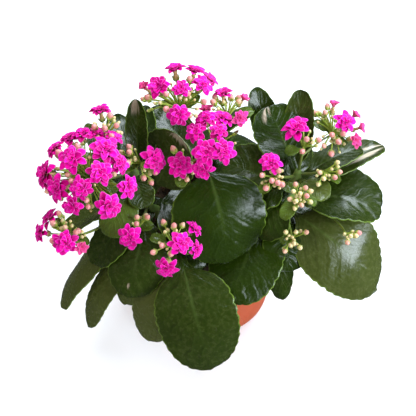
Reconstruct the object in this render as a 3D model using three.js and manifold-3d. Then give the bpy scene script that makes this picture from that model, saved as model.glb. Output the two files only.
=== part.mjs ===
// Potted kalanchoe with double flowers, in a small plastic grower's pot.
// Millimetres, +Z up. The origin is the middle of the flat underside of the pot.
// Three leafy stems stand in holes in the soil. Each flower truss stands on a short
// side shoot of its stem. Leaves are fused to their stem, and flowers and buds to their truss.

import * as THREE from 'three';
import { mergeVertices } from 'three/addons/utils/BufferGeometryUtils.js';
import Module from 'manifold-3d';

const wasm = await Module();
wasm.setup();
const { Manifold, Mesh: SolidMesh } = wasm;

// ---------- driving dimensions ----------

const POT_HEIGHT = 105;
const POT_TOP_RADIUS = 60;
const POT_BASE_RADIUS = 45;
const POT_WALL = 1.8;
const RIM_HEIGHT = 13;
const RIM_STEP = 2.4;
const POT_FOOT_CHAMFER = 1.5;
const POT_SIDES = 32;
const DRAIN_HOLES = 6;
const DRAIN_HOLE_RADIUS = 4;
const DRAIN_RING_RADIUS = 30;

const SOIL_TOP = 94;
const SOIL_LUMP = 1.6;
const SOIL_SIDES = 20;

const FIT_GAP = 0.3;
const SOIL_EXIT = 98;
const STEM_FOOT = 68;
const STEM_FOOT_RADIUS = 4;
const STEM_TIP_RADIUS = 2.4;
const STEM_SIDES = 6;
const SHOOT_RADIUS = 1.6;
const SHOOT_LENGTH = 5;

const LEAF_MID_THICKNESS = 1.7;
const LEAF_EDGE_THICKNESS = 0.9;
const PETIOLE_LENGTH = 11;
const PETIOLE_SHARE = 0.25;
const PETIOLE_WIDTH = 5;
const PETIOLE_THICKNESS = 3.2;
const BLADE_FOOT = 0.78;
const BLADE_SHOULDER = 0.28;
const BLADE_ROUNDNESS = 0.4;
const CRENATE_DEPTH = 0.045;
const MARGIN_WAVE = 0.9;
const FACE_LEAN = 0.35;
const NARROW_LEAF_WIDTH = 40;
const NARROW_LEAF_GRID = [6, 2];
const BROAD_LEAF_GRID = [8, 4];

const FLOWER_DIAMETER = 18.4;
const PETALS = 5;
const HALF_OPEN_SHARE = 0.7;
const TUBE_LENGTH = 6;
const BUD_LENGTH = 7;
const BUD_RADIUS = 1.9;
const STALK_RADIUS = 0.75;
const STALK_SIDES = 3;
const HUB_RADIUS = 3.8;
const STALK_START = 0.6 * HUB_RADIUS;
const BUNCH_LEAN = 18;
const GOLDEN_ANGLE = 137.5;
const LIGHT = [0, -0.5, 0.87];
const LIGHT_LEAN = 0.35;

// Stems: the points of the axis, from just above the soil up to the growing tip.
const STEMS = {
  left: [[-27, -8, SOIL_EXIT], [-38, -12, 122], [-48, -12, 150], [-52, -11, 172]],
  centre: [[2, 8, SOIL_EXIT], [-2, 9, 130], [-6, 8, 160], [-7, 4, 178]],
  right: [[29, 0, SOIL_EXIT], [46, -7, 122], [55, -9, 148], [58, -8, 166]],
  front: [[1, 7, 102], [-9, -16, 112], [-21, -38, 122], [-26, -48, 136]],
};

const PLANTED = ['left', 'centre', 'right'];

// Leaves: the height at which the leaf leaves its stem, the tip, the width, the rise of the
// midrib over its chord, the roll about the midrib and the fold of the two halves.
const LEAVES = {
  left: [
    { z: 128, tip: [-56, -69, 102], width: 42, arch: 10, roll: 0, fold: -12 },
    { z: 114, tip: [-60, -60, 76], width: 26, arch: 17, roll: 0, fold: -8 },
    { z: 122, tip: [-108, -57, 66], width: 28, arch: 14, roll: 20, fold: -15 },
    { z: 112, tip: [-89, -67, 55], width: 21, arch: 18, roll: 0, fold: -12 },
    { z: 138, tip: [-101, -30, 126], width: 24, arch: 4, roll: 20, fold: 10 },
    { z: 132, tip: [-81, -46, 108], width: 28, arch: 8, roll: 0, fold: 0 },
    { z: 160, tip: [-67, -53, 154], width: 24, arch: 5, roll: 0, fold: -10 },
    { z: 166, tip: [-44, -36, 162], width: 18, arch: 3, roll: 0, fold: 8 },
    { z: 136, tip: [-23, 12, 179], width: 45, arch: -4, roll: 0, fold: 8 },
    { z: 156, tip: [-50, 27, 197], width: 16, arch: -3, roll: 0, fold: 24 },
    { z: 148, tip: [-47, 44, 170], width: 20, arch: 4, roll: 0, fold: 10 },
    { z: 138, tip: [-69, 50, 152], width: 22, arch: 4, roll: 0, fold: 10 },
    { z: 120, tip: [-88, 30, 96], width: 34, arch: 10, roll: 0, fold: -10 },
    { z: 130, tip: [-58, 42, 116], width: 28, arch: 8, roll: 0, fold: -8 },
    { z: 140, tip: [-8, -27, 134], width: 46, arch: 3, roll: 0, fold: 0 },
    { z: 158, tip: [-92, -26, 166], width: 32, arch: 2, roll: 0, fold: 6 },
    { z: 168, tip: [-80, 4, 190], width: 22, arch: 0, roll: 0, fold: 10 },
  ],
  centre: [
    { z: 164, tip: [12, -54, 124], width: 64, arch: 12, roll: 0, fold: -8 },
    { z: 146, tip: [-44, 50, 158], width: 28, arch: 5, roll: 0, fold: 8 },
    { z: 166, tip: [28, 27, 186], width: 14, arch: 4, roll: 0, fold: 30 },
    { z: 142, tip: [-14, 62, 118], width: 30, arch: 10, roll: 0, fold: -8 },
    { z: 130, tip: [-22, 70, 98], width: 40, arch: 17, roll: 0, fold: -8 },
    { z: 120, tip: [24, 74, 90], width: 38, arch: 21, roll: 0, fold: -8 },
  ],
  front: [
    { z: 124, tip: [1, -107, 70], width: 56, arch: 17, roll: 15, fold: -10 },
    { z: 116, tip: [-44, -84, 66], width: 38, arch: 19, roll: 0, fold: -10 },
    { z: 118, tip: [-4, -50, 110], width: 18, arch: 3, roll: 0, fold: -5 },
  ],
  right: [
    { z: 142, tip: [8, 11, 147], width: 41, arch: 6, roll: -12, fold: 8 },
    { z: 147, tip: [28, -34, 128], width: 37, arch: 4, roll: 0, fold: -5 },
    { z: 122, tip: [54, -52, 108], width: 32, arch: 8, roll: 0, fold: -5 },
    { z: 157, tip: [75, -31, 165], width: 18, arch: 3, roll: 0, fold: 10 },
    { z: 134, tip: [117, -14, 131], width: 45, arch: 7, roll: 0, fold: 14 },
    { z: 124, tip: [117, -50, 83], width: 58, arch: 18, roll: 15, fold: -10 },
    { z: 112, tip: [13, -76, 107], width: 50, arch: 9, roll: 0, fold: -10 },
    { z: 108, tip: [50, -61, 84], width: 20, arch: 18, roll: 0, fold: -8 },
    { z: 142, tip: [29, 44, 189], width: 21, arch: -2, roll: 0, fold: 10 },
    { z: 160, tip: [38, 30, 186], width: 38, arch: 2, roll: 0, fold: 6 },
    { z: 150, tip: [60, 37, 195], width: 21, arch: -3, roll: 0, fold: 14 },
    { z: 142, tip: [121, 30, 143], width: 21, arch: 6, roll: 0, fold: 10 },
    { z: 152, tip: [103, 19, 155], width: 20, arch: 6, roll: 0, fold: 10 },
    { z: 138, tip: [60, 54, 122], width: 30, arch: 8, roll: 0, fold: -8 },
    { z: 122, tip: [86, 58, 94], width: 38, arch: 14, roll: 0, fold: -8 },
    { z: 140, tip: [80, -14, 138], width: 22, arch: 3, roll: 0, fold: 0 },
    { z: 152, tip: [31, -16, 139], width: 22, arch: 3, roll: 0, fold: 0 },
    { z: 118, tip: [76, -12, 113], width: 26, arch: 2, roll: 0, fold: 0 },
  ],
};

// Flower trusses: the stem and height they spring from, the point that their main stalk
// bends towards, and their clusters. A cluster has a hub, the reach of its stalks, flowers
// given by the azimuth and elevation of their stalk and a share of the full size, and
// bunches of buds given by azimuth, elevation and count.
const TRUSSES = [
  { name: 'flowers_left', stem: 'left', z: 168, via: [-68, -22, 174], clusters: [
    { hub: [-76, -31, 186], reach: 29,
      flowers: [[-155, 70, 1.05], [15, 70, 1.05], [-60, 60], [-140, 30], [-65, 20, 1.05],
        [-175, 20, 0.95], [-100, 45, 0.88], [-30, 25, 0.85], [-10, 50, 0.8], [150, 30, 0.8],
        [125, 35, 0.8], [105, 45, 0.8], [80, 45, 0.8], [50, 45, 0.75], [175, 15, 0.75],
        [180, 0, 0.75], [-110, 22, 0.7]],
      buds: [[140, 72, 1], [-140, 52, 1], [-122, 50, 1], [165, 38, 2], [-160, 5, 1],
        [-90, 20, 1], [-32, 48, 1], [-92, 30, 1]] },
    { hub: [-68, -5, 198], reach: 16,
      flowers: [[105, 42, 0.8]],
      buds: [[-155, 65, 1], [-80, 70, 1], [-15, 60, 1], [-60, 50, 1], [50, 70, 1]] },
  ] },
  { name: 'flowers_left_low', stem: 'left', z: 142, via: [-76, -46, 144], clusters: [
    { hub: [-90, -60, 166], reach: 17,
      flowers: [[145, 25, 0.85], [-178, 15, 0.75], [-95, 45, 0.95], [-58, 28, 0.55]],
      buds: [[125, 45, 1], [170, 50, 1], [-105, 75, 1], [-52, 60, 1], [-38, 48, 2],
        [-132, 38, 1]] },
  ] },
  { name: 'flowers_inner_left', stem: 'left', z: 172, via: [-48, -13, 177], clusters: [
    { hub: [-46, -14, 182], reach: 14,
      flowers: [[-30, 45, 0.95]],
      buds: [[-175, 50, 3], [150, 55, 1], [-80, 10, 1], [-48, 5, 2]] },
  ] },
  { name: 'flowers_front_left', stem: 'left', z: 134, via: [-48, -34, 138], clusters: [
    { hub: [-50, -46, 150], reach: 13,
      flowers: [[-105, 40, 0.92]],
      buds: [[60, 65, 2], [-65, 75, 1], [25, 50, 1]] },
  ] },
  { name: 'flowers_centre', stem: 'centre', z: 176, via: [-2, -4, 184], clusters: [
    { hub: [2, -10, 190], reach: 24,
      flowers: [[-112, 48], [-72, 50, 0.92], [-110, 22, 0.85], [130, 68, 0.8], [62, 66, 0.78],
        [-55, 80, 0.72], [-175, 60, 0.78], [105, 42, 0.55]],
      buds: [[0, 55, 1], [95, 55, 1]] },
    { hub: [10, 8, 200], reach: 15,
      flowers: [[105, 50, 0.65], [40, 35, 0.52], [-50, 45, 0.6]],
      buds: [[130, 40, 1], [155, 50, 1], [75, 42, 2], [25, 60, 1]] },
    { hub: [-20, 10, 204], reach: 26,
      flowers: [[100, 40, 0.7], [65, 40, 0.66], [20, 55, 0.82], [42, 30, 0.64],
        [180, 62, 0.7], [-70, 85, 0.74], [160, 32, 0.52], [-92, 48, 0.8]],
      buds: [[168, 14, 2], [125, 35, 1], [45, 72, 1], [-40, 75, 1], [-145, 68, 1],
        [-120, 52, 1], [-70, 45, 1], [-25, 50, 1]] },
    { hub: [-18, -16, 178], reach: 16,
      flowers: [[-105, 60]],
      buds: [[125, 35, 1], [-65, 45, 3]] },
  ] },
  { name: 'flowers_front', stem: 'front', z: 134, via: [-27, -54, 144], clusters: [
    { hub: [-26, -58, 152], reach: 16,
      flowers: [[-50, 55, 0.92], [30, 22, 0.72], [-18, 10, 0.72], [-100, -2, 0.88]],
      buds: [[70, 60, 3], [-125, 40, 3]] },
  ] },
  { name: 'flowers_right', stem: 'right', z: 165, via: [59, -6, 174], clusters: [
    { hub: [60, -2, 182], reach: 15,
      flowers: [[140, 64, 1.05]],
      buds: [[90, 35, 1], [-10, 50, 1], [-80, 62, 2]] },
    { hub: [80, 14, 176], reach: 18,
      flowers: [[-20, 65, 0.88], [85, 35, 0.52], [35, 20, 0.52], [5, 15, 0.52],
        [-38, 24, 0.55]],
      buds: [[120, 20, 1], [100, 25, 3], [140, 68, 1], [-60, 50, 1], [-98, 40, 2],
        [-80, 26, 2]] },
  ] },
  { name: 'flowers_inner_right', stem: 'right', z: 160, via: [48, -16, 168], clusters: [
    { hub: [40, -22, 178], reach: 14,
      flowers: [[170, 80, 0.88]],
      buds: [[-100, 32, 4], [-62, 56, 2]] },
  ] },
  { name: 'buds_right', stem: 'right', z: 162, via: [68, -10, 164], clusters: [
    { hub: [74, -10, 168], reach: 12,
      flowers: [],
      buds: [[-115, 45, 1], [-10, 42, 2], [-55, 25, 1], [-95, 20, 2]] },
  ] },
  { name: 'buds_middle', stem: 'right', z: 152, via: [57, -24, 154], clusters: [
    { hub: [57, -30, 167], reach: 9,
      flowers: [],
      buds: [[-90, 55, 11]] },
  ] },
  { name: 'buds_right_low', stem: 'right', z: 129, via: [80, -8, 129], clusters: [
    { hub: [90, -40, 138], reach: 9,
      flowers: [],
      buds: [[-75, 35, 3], [-20, 30, 1]] },
  ] },
  { name: 'buds_front_right', stem: 'right', z: 132, via: [52, -28, 134], clusters: [
    { hub: [54, -42, 136], reach: 13,
      flowers: [],
      buds: [[-100, 25, 3], [-70, 60, 4]] },
  ] },
];

const COLOURS = {
  pot: { color: 0xcf6a48, roughness: 0.5, metalness: 0 },
  soil: { color: 0x3b2a1e, roughness: 1, metalness: 0 },
  leaf: { color: 0x3f5c2c, roughness: 0.35, metalness: 0 },
  flower: { color: 0xf000b4, roughness: 0.5, metalness: 0 },
};

// ---------- small helpers ----------

const vector = (p) => new THREE.Vector3(...p);
const radians = THREE.MathUtils.degToRad;
const smooth = (x) => THREE.MathUtils.smoothstep(x, 0, 1);
const UP = new THREE.Vector3(0, 0, 1);

// A repeatable random number between -1 and 1.
function makeRandom(seed) {
  let state = seed;
  return () => {
    state = (state * 1664525 + 1013904223) % 4294967296;
    return (state / 4294967296) * 2 - 1;
  };
}

function toSolid(geometry) {
  const bare = geometry.clone();
  bare.deleteAttribute('normal');
  bare.deleteAttribute('uv');
  const merged = mergeVertices(bare, 1e-4);
  return new Manifold(new SolidMesh({
    numProp: 3,
    vertProperties: new Float32Array(merged.attributes.position.array),
    triVerts: new Uint32Array(merged.index.array),
  }));
}

function toGeometry(solid) {
  const { vertProperties, triVerts } = solid.getMesh();
  const geometry = new THREE.BufferGeometry();
  geometry.setAttribute('position', new THREE.BufferAttribute(vertProperties, 3));
  geometry.setIndex(new THREE.BufferAttribute(triVerts, 1));
  geometry.computeVertexNormals();
  return geometry;
}

const fuse = (solids) => solids.reduce((whole, solid) => whole.add(solid));

function facetGeometry(points, triangles) {
  const geometry = new THREE.BufferGeometry();
  const numbers = points.flatMap((p) => p.toArray());
  geometry.setAttribute('position', new THREE.Float32BufferAttribute(numbers, 3));
  geometry.setIndex(triangles);
  return geometry;
}

// Rings of points about an axis, each with the same count, joined from the first to the last.
function ringTriangles(first, rings, count) {
  const triangles = [];
  for (let i = 0; i < rings - 1; i += 1) {
    for (let k = 0; k < count; k += 1) {
      const a = first + i * count + k;
      const b = first + i * count + ((k + 1) % count);
      triangles.push(a, b, a + count, b, b + count, a + count);
    }
  }
  return triangles;
}

// A round limb along a curve: rings of the given radii, closed by a flat cap at each end.
function limb(curve, radii, sides) {
  const steps = radii.length - 1;
  const frames = curve.computeFrenetFrames(steps, false);
  const points = [];
  radii.forEach((radius, i) => {
    const middle = curve.getPointAt(i / steps);
    for (let k = 0; k < sides; k += 1) {
      const angle = (2 * Math.PI * k) / sides;
      points.push(middle.clone()
        .addScaledVector(frames.normals[i], radius * Math.cos(angle))
        .addScaledVector(frames.binormals[i], radius * Math.sin(angle)));
    }
  });
  const triangles = ringTriangles(0, radii.length, sides);
  const last = steps * sides;
  for (let k = 1; k < sides - 1; k += 1) {
    triangles.push(0, k + 1, k, last, last + k, last + k + 1);
  }
  return facetGeometry(points, triangles);
}

// ---------- pot and soil ----------

const wallRadius = (z) => (
  POT_BASE_RADIUS + (POT_TOP_RADIUS - RIM_STEP - POT_BASE_RADIUS) * (z / POT_HEIGHT));

function potSolid() {
  const rimFoot = POT_HEIGHT - RIM_HEIGHT;
  const inner = (z) => wallRadius(z) - POT_WALL;
  const profile = [
    [0, 0], [POT_BASE_RADIUS - POT_FOOT_CHAMFER, 0],
    [wallRadius(POT_FOOT_CHAMFER), POT_FOOT_CHAMFER], [wallRadius(rimFoot), rimFoot],
    [POT_TOP_RADIUS - 1, rimFoot + 1], [POT_TOP_RADIUS, POT_HEIGHT - 1],
    [POT_TOP_RADIUS - 0.8, POT_HEIGHT], [inner(POT_HEIGHT) + 1, POT_HEIGHT],
    [inner(rimFoot), rimFoot], [inner(POT_WALL), POT_WALL], [0, POT_WALL],
  ].map(([x, y]) => new THREE.Vector2(x, y));
  let solid = toSolid(new THREE.LatheGeometry(profile, POT_SIDES).rotateX(Math.PI / 2));
  for (let k = 0; k < DRAIN_HOLES; k += 1) {
    const angle = (2 * Math.PI * (k + 0.5)) / DRAIN_HOLES;
    const drill = new THREE.CylinderGeometry(DRAIN_HOLE_RADIUS, DRAIN_HOLE_RADIUS, 3 * POT_WALL, 8);
    drill.rotateX(Math.PI / 2);
    drill.translate(DRAIN_RING_RADIUS * Math.cos(angle), DRAIN_RING_RADIUS * Math.sin(angle), 0);
    solid = solid.subtract(toSolid(drill));
  }
  return solid;
}

function soilSolid() {
  const side = (z) => wallRadius(z) - POT_WALL - FIT_GAP;
  const profile = [
    [0, POT_WALL + FIT_GAP], [side(POT_WALL), POT_WALL + FIT_GAP], [side(SOIL_TOP - 3), SOIL_TOP - 3],
    [side(SOIL_TOP - 3) - 2, SOIL_TOP - 1], [32, SOIL_TOP], [12, SOIL_TOP + 1],
    [0, SOIL_TOP],
  ].map(([x, y]) => new THREE.Vector2(x, y));
  const geometry = new THREE.LatheGeometry(profile, SOIL_SIDES).rotateX(Math.PI / 2);
  geometry.deleteAttribute('normal');
  geometry.deleteAttribute('uv');
  const merged = mergeVertices(geometry, 1e-4);
  const place = merged.attributes.position;
  for (let i = 0; i < place.count; i += 1) {
    const x = place.getX(i);
    const y = place.getY(i);
    const z = place.getZ(i);
    const lump = SOIL_LUMP * Math.sin(x * 0.31 + 1) * Math.sin(y * 0.27 + x * 0.11);
    if (z > SOIL_TOP - 2) place.setZ(i, z + lump);
  }
  let solid = toSolid(merged);
  for (const stem of PLANTED) {
    const [x, y] = STEMS[stem][0];
    const radius = STEM_FOOT_RADIUS + FIT_GAP;
    const depth = SOIL_TOP + 10 - (STEM_FOOT - FIT_GAP);
    const hole = new THREE.CylinderGeometry(radius, radius, depth, 12);
    hole.rotateX(Math.PI / 2);
    hole.translate(x, y, STEM_FOOT - FIT_GAP + depth / 2);
    solid = solid.subtract(toSolid(hole));
  }
  return solid;
}

// ---------- stems and leaves ----------

const stemCurve = (stem) => new THREE.CatmullRomCurve3(STEMS[stem].map(vector), false, 'centripetal');

// The point of a stem's axis at a height, found by halving the curve.
function axisAt(stem, z) {
  const curve = stemCurve(stem);
  let low = 0;
  let high = 1;
  for (let i = 0; i < 24; i += 1) {
    const middle = (low + high) / 2;
    if (curve.getPoint(middle).z < z) low = middle;
    else high = middle;
  }
  return curve.getPoint(low);
}

// A stem narrows towards its tip. One that stands in the soil has a straight foot below.
function stemSolid(stem) {
  const steps = 5;
  const curve = stemCurve(stem);
  const planted = PLANTED.includes(stem);
  const root = planted ? STEM_FOOT_RADIUS : STEM_TIP_RADIUS + 0.8;
  const radii = Array.from({ length: steps + 1 }, (_, i) => (
    root + (STEM_TIP_RADIUS - root) * (i / steps) ** 1.5));
  const upper = toSolid(limb(curve, radii, STEM_SIDES));
  if (!planted) return upper;
  const [x, y, z] = STEMS[stem][0];
  const foot = new THREE.LineCurve3(new THREE.Vector3(x, y, STEM_FOOT), new THREE.Vector3(x, y, z + 1));
  return upper.add(toSolid(limb(foot, [STEM_FOOT_RADIUS, STEM_FOOT_RADIUS], STEM_SIDES)));
}

// The half width of a blade from its foot (0) to its tip (1), as a share of its widest place:
// a full oval that is narrower up to its shoulder.
function bladeShape(u) {
  const along = 2 * (0.02 + 0.955 * u) - 1;
  const shoulder = BLADE_FOOT + (1 - BLADE_FOOT) * smooth(u / BLADE_SHOULDER);
  return (1 - along * along) ** BLADE_ROUNDNESS * shoulder;
}

// A leaf is a grid of points: rows from the stem to the tip, columns from margin to margin.
// The upper and the lower face share the grid and are split into triangles alike.
function leafSolid(axis, { tip, width, arch, roll, fold }) {
  const end = vector(tip);
  const base = axis.clone().addScaledVector(end.clone().sub(axis).normalize(), 0.5 * STEM_TIP_RADIUS);
  const chord = end.clone().sub(base);
  const length = chord.length();
  const outward = chord.clone().setZ(0).normalize();
  const along = chord.clone().normalize();
  const face = UP.clone().addScaledVector(outward, -FACE_LEAN);
  face.addScaledVector(along, -face.dot(along)).normalize().applyAxisAngle(along, radians(roll));
  const bend = base.clone().add(end).multiplyScalar(0.5).addScaledVector(face, 2 * arch);
  const midrib = new THREE.QuadraticBezierCurve3(base, bend, end);
  const [rows, columns] = width <= NARROW_LEAF_WIDTH ? NARROW_LEAF_GRID : BROAD_LEAF_GRID;
  const petiole = Math.min(PETIOLE_LENGTH, PETIOLE_SHARE * length) / length;
  const upper = [];
  const lower = [];
  for (let i = 0; i <= rows; i += 1) {
    const u = i === 0 ? 0 : (i - 1) / (rows - 1);
    const t = i === 0 ? 0 : petiole + (1 - petiole) * u;
    const middle = midrib.getPoint(t);
    const ahead = midrib.getTangent(t);
    const side = ahead.clone().cross(face).normalize();
    const normal = side.clone().cross(ahead).normalize();
    const lobe = i > 1 && i < rows ? (i % 2 === 0 ? 1 : -1) : 0;
    const spread = (width / 2) * bladeShape(u) * (1 + CRENATE_DEPTH * lobe);
    const half = i === 0 ? PETIOLE_WIDTH / 2 : Math.max(PETIOLE_WIDTH / 2, i === 1 ? 0 : spread);
    for (let j = 0; j <= columns; j += 1) {
      const s = (2 * j) / columns - 1;
      const turn = radians(fold) * (0.4 + 0.6 * Math.abs(s));
      const wave = i > 1 ? MARGIN_WAVE * lobe * s * s : 0;
      const place = middle.clone()
        .addScaledVector(side, s * half * Math.cos(turn))
        .addScaledVector(normal, Math.abs(s) * half * Math.sin(turn) + wave);
      const thick = i <= 1 ? PETIOLE_THICKNESS * (1 - 0.4 * Math.abs(s))
        : LEAF_EDGE_THICKNESS + (LEAF_MID_THICKNESS - LEAF_EDGE_THICKNESS) * (1 - Math.abs(s));
      const away = normal.clone().applyAxisAngle(ahead, Math.sign(s) * -turn);
      upper.push(place.clone().addScaledVector(away, thick / 2));
      lower.push(place.clone().addScaledVector(away, -thick / 2));
    }
  }
  return toSolid(facetGeometry([...upper, ...lower], plateTriangles(rows, columns)));
}

// Triangles of a thin plate whose upper grid of points comes first and its lower grid after.
function plateTriangles(rows, columns) {
  const triangles = [];
  const across = columns + 1;
  const count = (rows + 1) * across;
  const at = (i, j) => i * across + j;
  const wall = (a, b) => triangles.push(a, a + count, b, b, a + count, b + count);
  for (let i = 0; i < rows; i += 1) {
    for (let j = 0; j < columns; j += 1) {
      const [a, b, c, d] = [at(i, j), at(i, j + 1), at(i + 1, j), at(i + 1, j + 1)];
      const pair = j < columns / 2 ? [a, b, d, a, d, c] : [a, b, c, b, d, c];
      triangles.push(...pair);
      triangles.push(...pair.toReversed().map((v) => v + count));
    }
    wall(at(i + 1, 0), at(i, 0));
    wall(at(i, columns), at(i + 1, columns));
  }
  for (let j = 0; j < columns; j += 1) {
    wall(at(0, j), at(0, j + 1));
    wall(at(rows, j + 1), at(rows, j));
  }
  return triangles;
}

// ---------- flowers and buds ----------

const facing = (azimuth, elevation) => new THREE.Vector3(
  Math.cos(radians(elevation)) * Math.cos(radians(azimuth)),
  Math.cos(radians(elevation)) * Math.sin(radians(azimuth)),
  Math.sin(radians(elevation)),
);

// A double flower about +Z: two whorls of petals, the inner one raised and turned by half a
// petal, over a funnel. A half-open one shows its outer whorl only, as a cup. Below it are two
// rings of a three-sided stalk: the neck, and the foot, left at the origin for the caller to
// place.
function flowerGeometry(radius, halfOpen) {
  const count = 2 * PETALS;
  const rings = halfOpen ? [
    { tip: 0.5 * radius, notch: 0.5 * radius, height: 0.5 * radius, shift: 0 },
    { tip: radius, notch: 0.8 * radius, height: 0.4 * radius, shift: 0 },
  ] : [
    { tip: 0.6 * radius, notch: 0.42 * radius, height: 0.44 * radius, shift: 1 },
    { tip: 0.46 * radius, notch: 0.46 * radius, height: 0.1 * radius, shift: 0 },
    { tip: radius, notch: 0.66 * radius, height: 0.1 * radius, shift: 0 },
  ];
  const points = [new THREE.Vector3(0, 0, 0.22 * radius)];
  const addRing = (sides, height, radiusOf) => {
    for (let k = 0; k < sides; k += 1) {
      const angle = (2 * Math.PI * k) / sides;
      const r = radiusOf(k);
      points.push(new THREE.Vector3(r * Math.cos(angle), r * Math.sin(angle), height));
    }
  };
  rings.forEach(({ tip, notch, height, shift }) => {
    addRing(count, height, (k) => ((k + shift) % 2 === 0 ? tip : notch));
  });
  const rim = 1 + (rings.length - 1) * count;
  const neck = points.length;
  addRing(STALK_SIDES, -TUBE_LENGTH, () => STALK_RADIUS);
  addRing(STALK_SIDES, 0, () => STALK_RADIUS);
  const triangles = ringTriangles(1, rings.length, count).reverse();
  for (let k = 0; k < count; k += 1) {
    const next = (k + 1) % count;
    const side = neck + Math.floor((k * STALK_SIDES) / count);
    const nextSide = neck + (Math.floor(((k + 1) * STALK_SIDES) / count) % STALK_SIDES);
    triangles.push(0, 1 + k, 1 + next, side, rim + next, rim + k);
    if (side !== nextSide) triangles.push(side, nextSide, rim + next);
  }
  triangles.push(...ringTriangles(neck, 2, STALK_SIDES).reverse());
  const foot = neck + STALK_SIDES;
  triangles.push(foot, foot + 2, foot + 1);
  return facetGeometry(points, triangles);
}

// A flower sits at the end of its stalk and leans from the stalk's direction to the light.
function flowerSolid(hub, direction, reach, diameter, halfOpen) {
  const middle = hub.clone().addScaledVector(direction, reach);
  const foot = hub.clone().addScaledVector(direction, STALK_START);
  const face = direction.clone().lerp(vector(LIGHT), LIGHT_LEAN).normalize();
  const turn = new THREE.Quaternion().setFromUnitVectors(UP, face);
  const geometry = flowerGeometry(diameter / 2, halfOpen).applyQuaternion(turn);
  const place = geometry.attributes.position;
  for (let i = 0; i < place.count; i += 1) {
    const { x, y, z } = i < place.count - STALK_SIDES ? middle : foot;
    place.setXYZ(i, place.getX(i) + x, place.getY(i) + y, place.getZ(i) + z);
  }
  return toSolid(geometry);
}

// A bud on its stalk: one spindle that narrows to the stalk and closes in a point.
function budSolid(hub, direction, reach) {
  const neck = reach - BUD_LENGTH / 2;
  const rings = [[STALK_START, STALK_RADIUS], [neck, STALK_RADIUS], [neck + 0.4 * BUD_LENGTH, BUD_RADIUS]];
  const points = rings.flatMap(([height, radius]) => Array.from({ length: STALK_SIDES }, (_, k) => {
    const angle = (2 * Math.PI * k) / STALK_SIDES;
    return new THREE.Vector3(radius * Math.cos(angle), radius * Math.sin(angle), height);
  }));
  points.push(new THREE.Vector3(0, 0, neck + BUD_LENGTH));
  const last = points.length - 1;
  const triangles = ringTriangles(0, rings.length, STALK_SIDES);
  for (let k = 0; k < STALK_SIDES; k += 1) {
    triangles.push(last - STALK_SIDES + k, last - STALK_SIDES + ((k + 1) % STALK_SIDES), last);
  }
  triangles.push(0, 2, 1);
  const turn = new THREE.Quaternion().setFromUnitVectors(UP, direction);
  return toSolid(facetGeometry(points, triangles).applyQuaternion(turn).translate(...hub.toArray()));
}

// A bunch of buds: round its own direction at the golden angle, wider with each bud.
function bunchDirections([azimuth, elevation, count]) {
  const heart = facing(azimuth, elevation);
  const sideways = heart.clone().cross(UP).normalize();
  return Array.from({ length: count }, (_, k) => {
    const lean = count === 1 ? 0 : BUNCH_LEAN * Math.sqrt(k + 0.4);
    return heart.clone()
      .applyAxisAngle(sideways, radians(lean))
      .applyAxisAngle(heart, radians(GOLDEN_ANGLE * k));
  });
}

// A truss leaves its stem at a side shoot, and its main stalk bends from there to the first hub.
function shootOf({ stem, z, via, clusters }) {
  const root = axisAt(stem, z);
  const hub = vector(clusters[0].hub);
  const way = vector(via).sub(root).normalize();
  return { root, hub, way, end: root.clone().addScaledVector(way, SHOOT_LENGTH) };
}

function shootSolid(truss) {
  const { root, end } = shootOf(truss);
  return toSolid(limb(new THREE.LineCurve3(root, end), [SHOOT_RADIUS, SHOOT_RADIUS], 5));
}

function trussSolid(truss, random) {
  const { hub: firstHub, way, end } = shootOf(truss);
  const start = end.clone().addScaledVector(way, FIT_GAP);
  const bend = new THREE.QuadraticBezierCurve3(start, vector(truss.via), firstHub);
  const solids = [toSolid(limb(bend, [SHOOT_RADIUS, SHOOT_RADIUS, SHOOT_RADIUS], 5))];
  truss.clusters.forEach(({ hub: place, reach, flowers, buds }) => {
    const hub = vector(place);
    if (!hub.equals(firstHub)) {
      const link = new THREE.LineCurve3(firstHub, hub);
      solids.push(toSolid(limb(link, [SHOOT_RADIUS, 0.8 * SHOOT_RADIUS], 5)));
    }
    solids.push(toSolid(new THREE.IcosahedronGeometry(HUB_RADIUS, 0).translate(...place)));
    for (const [azimuth, elevation, share = 1] of flowers) {
      const diameter = FLOWER_DIAMETER * share * (1 + 0.05 * random());
      const distance = reach * (1 + 0.05 * random());
      const halfOpen = share <= HALF_OPEN_SHARE;
      solids.push(flowerSolid(hub, facing(azimuth, elevation), distance, diameter, halfOpen));
    }
    for (const bunch of buds) {
      for (const direction of bunchDirections(bunch)) {
        solids.push(budSolid(hub, direction, reach * (0.95 + 0.08 * random())));
      }
    }
  });
  return fuse(solids);
}

// ---------- the whole plant ----------

const kalanchoe = new THREE.Group();

function addPiece(name, solid, finish) {
  const piece = new THREE.Mesh(toGeometry(solid), new THREE.MeshStandardMaterial(COLOURS[finish]));
  piece.name = name;
  kalanchoe.add(piece);
}

addPiece('pot', potSolid(), 'pot');
addPiece('soil', soilSolid(), 'soil');

const BRANCHES = { left: ['left'], centre: ['centre', 'front'], right: ['right'] };
for (const [name, branches] of Object.entries(BRANCHES)) {
  const solids = branches.flatMap((stem) => [
    stemSolid(stem),
    ...LEAVES[stem].map((leaf) => leafSolid(axisAt(stem, leaf.z), leaf)),
    ...TRUSSES.filter((truss) => truss.stem === stem).map(shootSolid),
  ]);
  addPiece(`leafy_stem_${name}`, fuse(solids), 'leaf');
}

const random = makeRandom(7);
for (const truss of TRUSSES) addPiece(truss.name, trussSolid(truss, random), 'flower');

export default kalanchoe;
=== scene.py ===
import math

import bmesh
import bpy
import numpy as np
from mathutils import Matrix, Quaternion, Vector, noise


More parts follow.
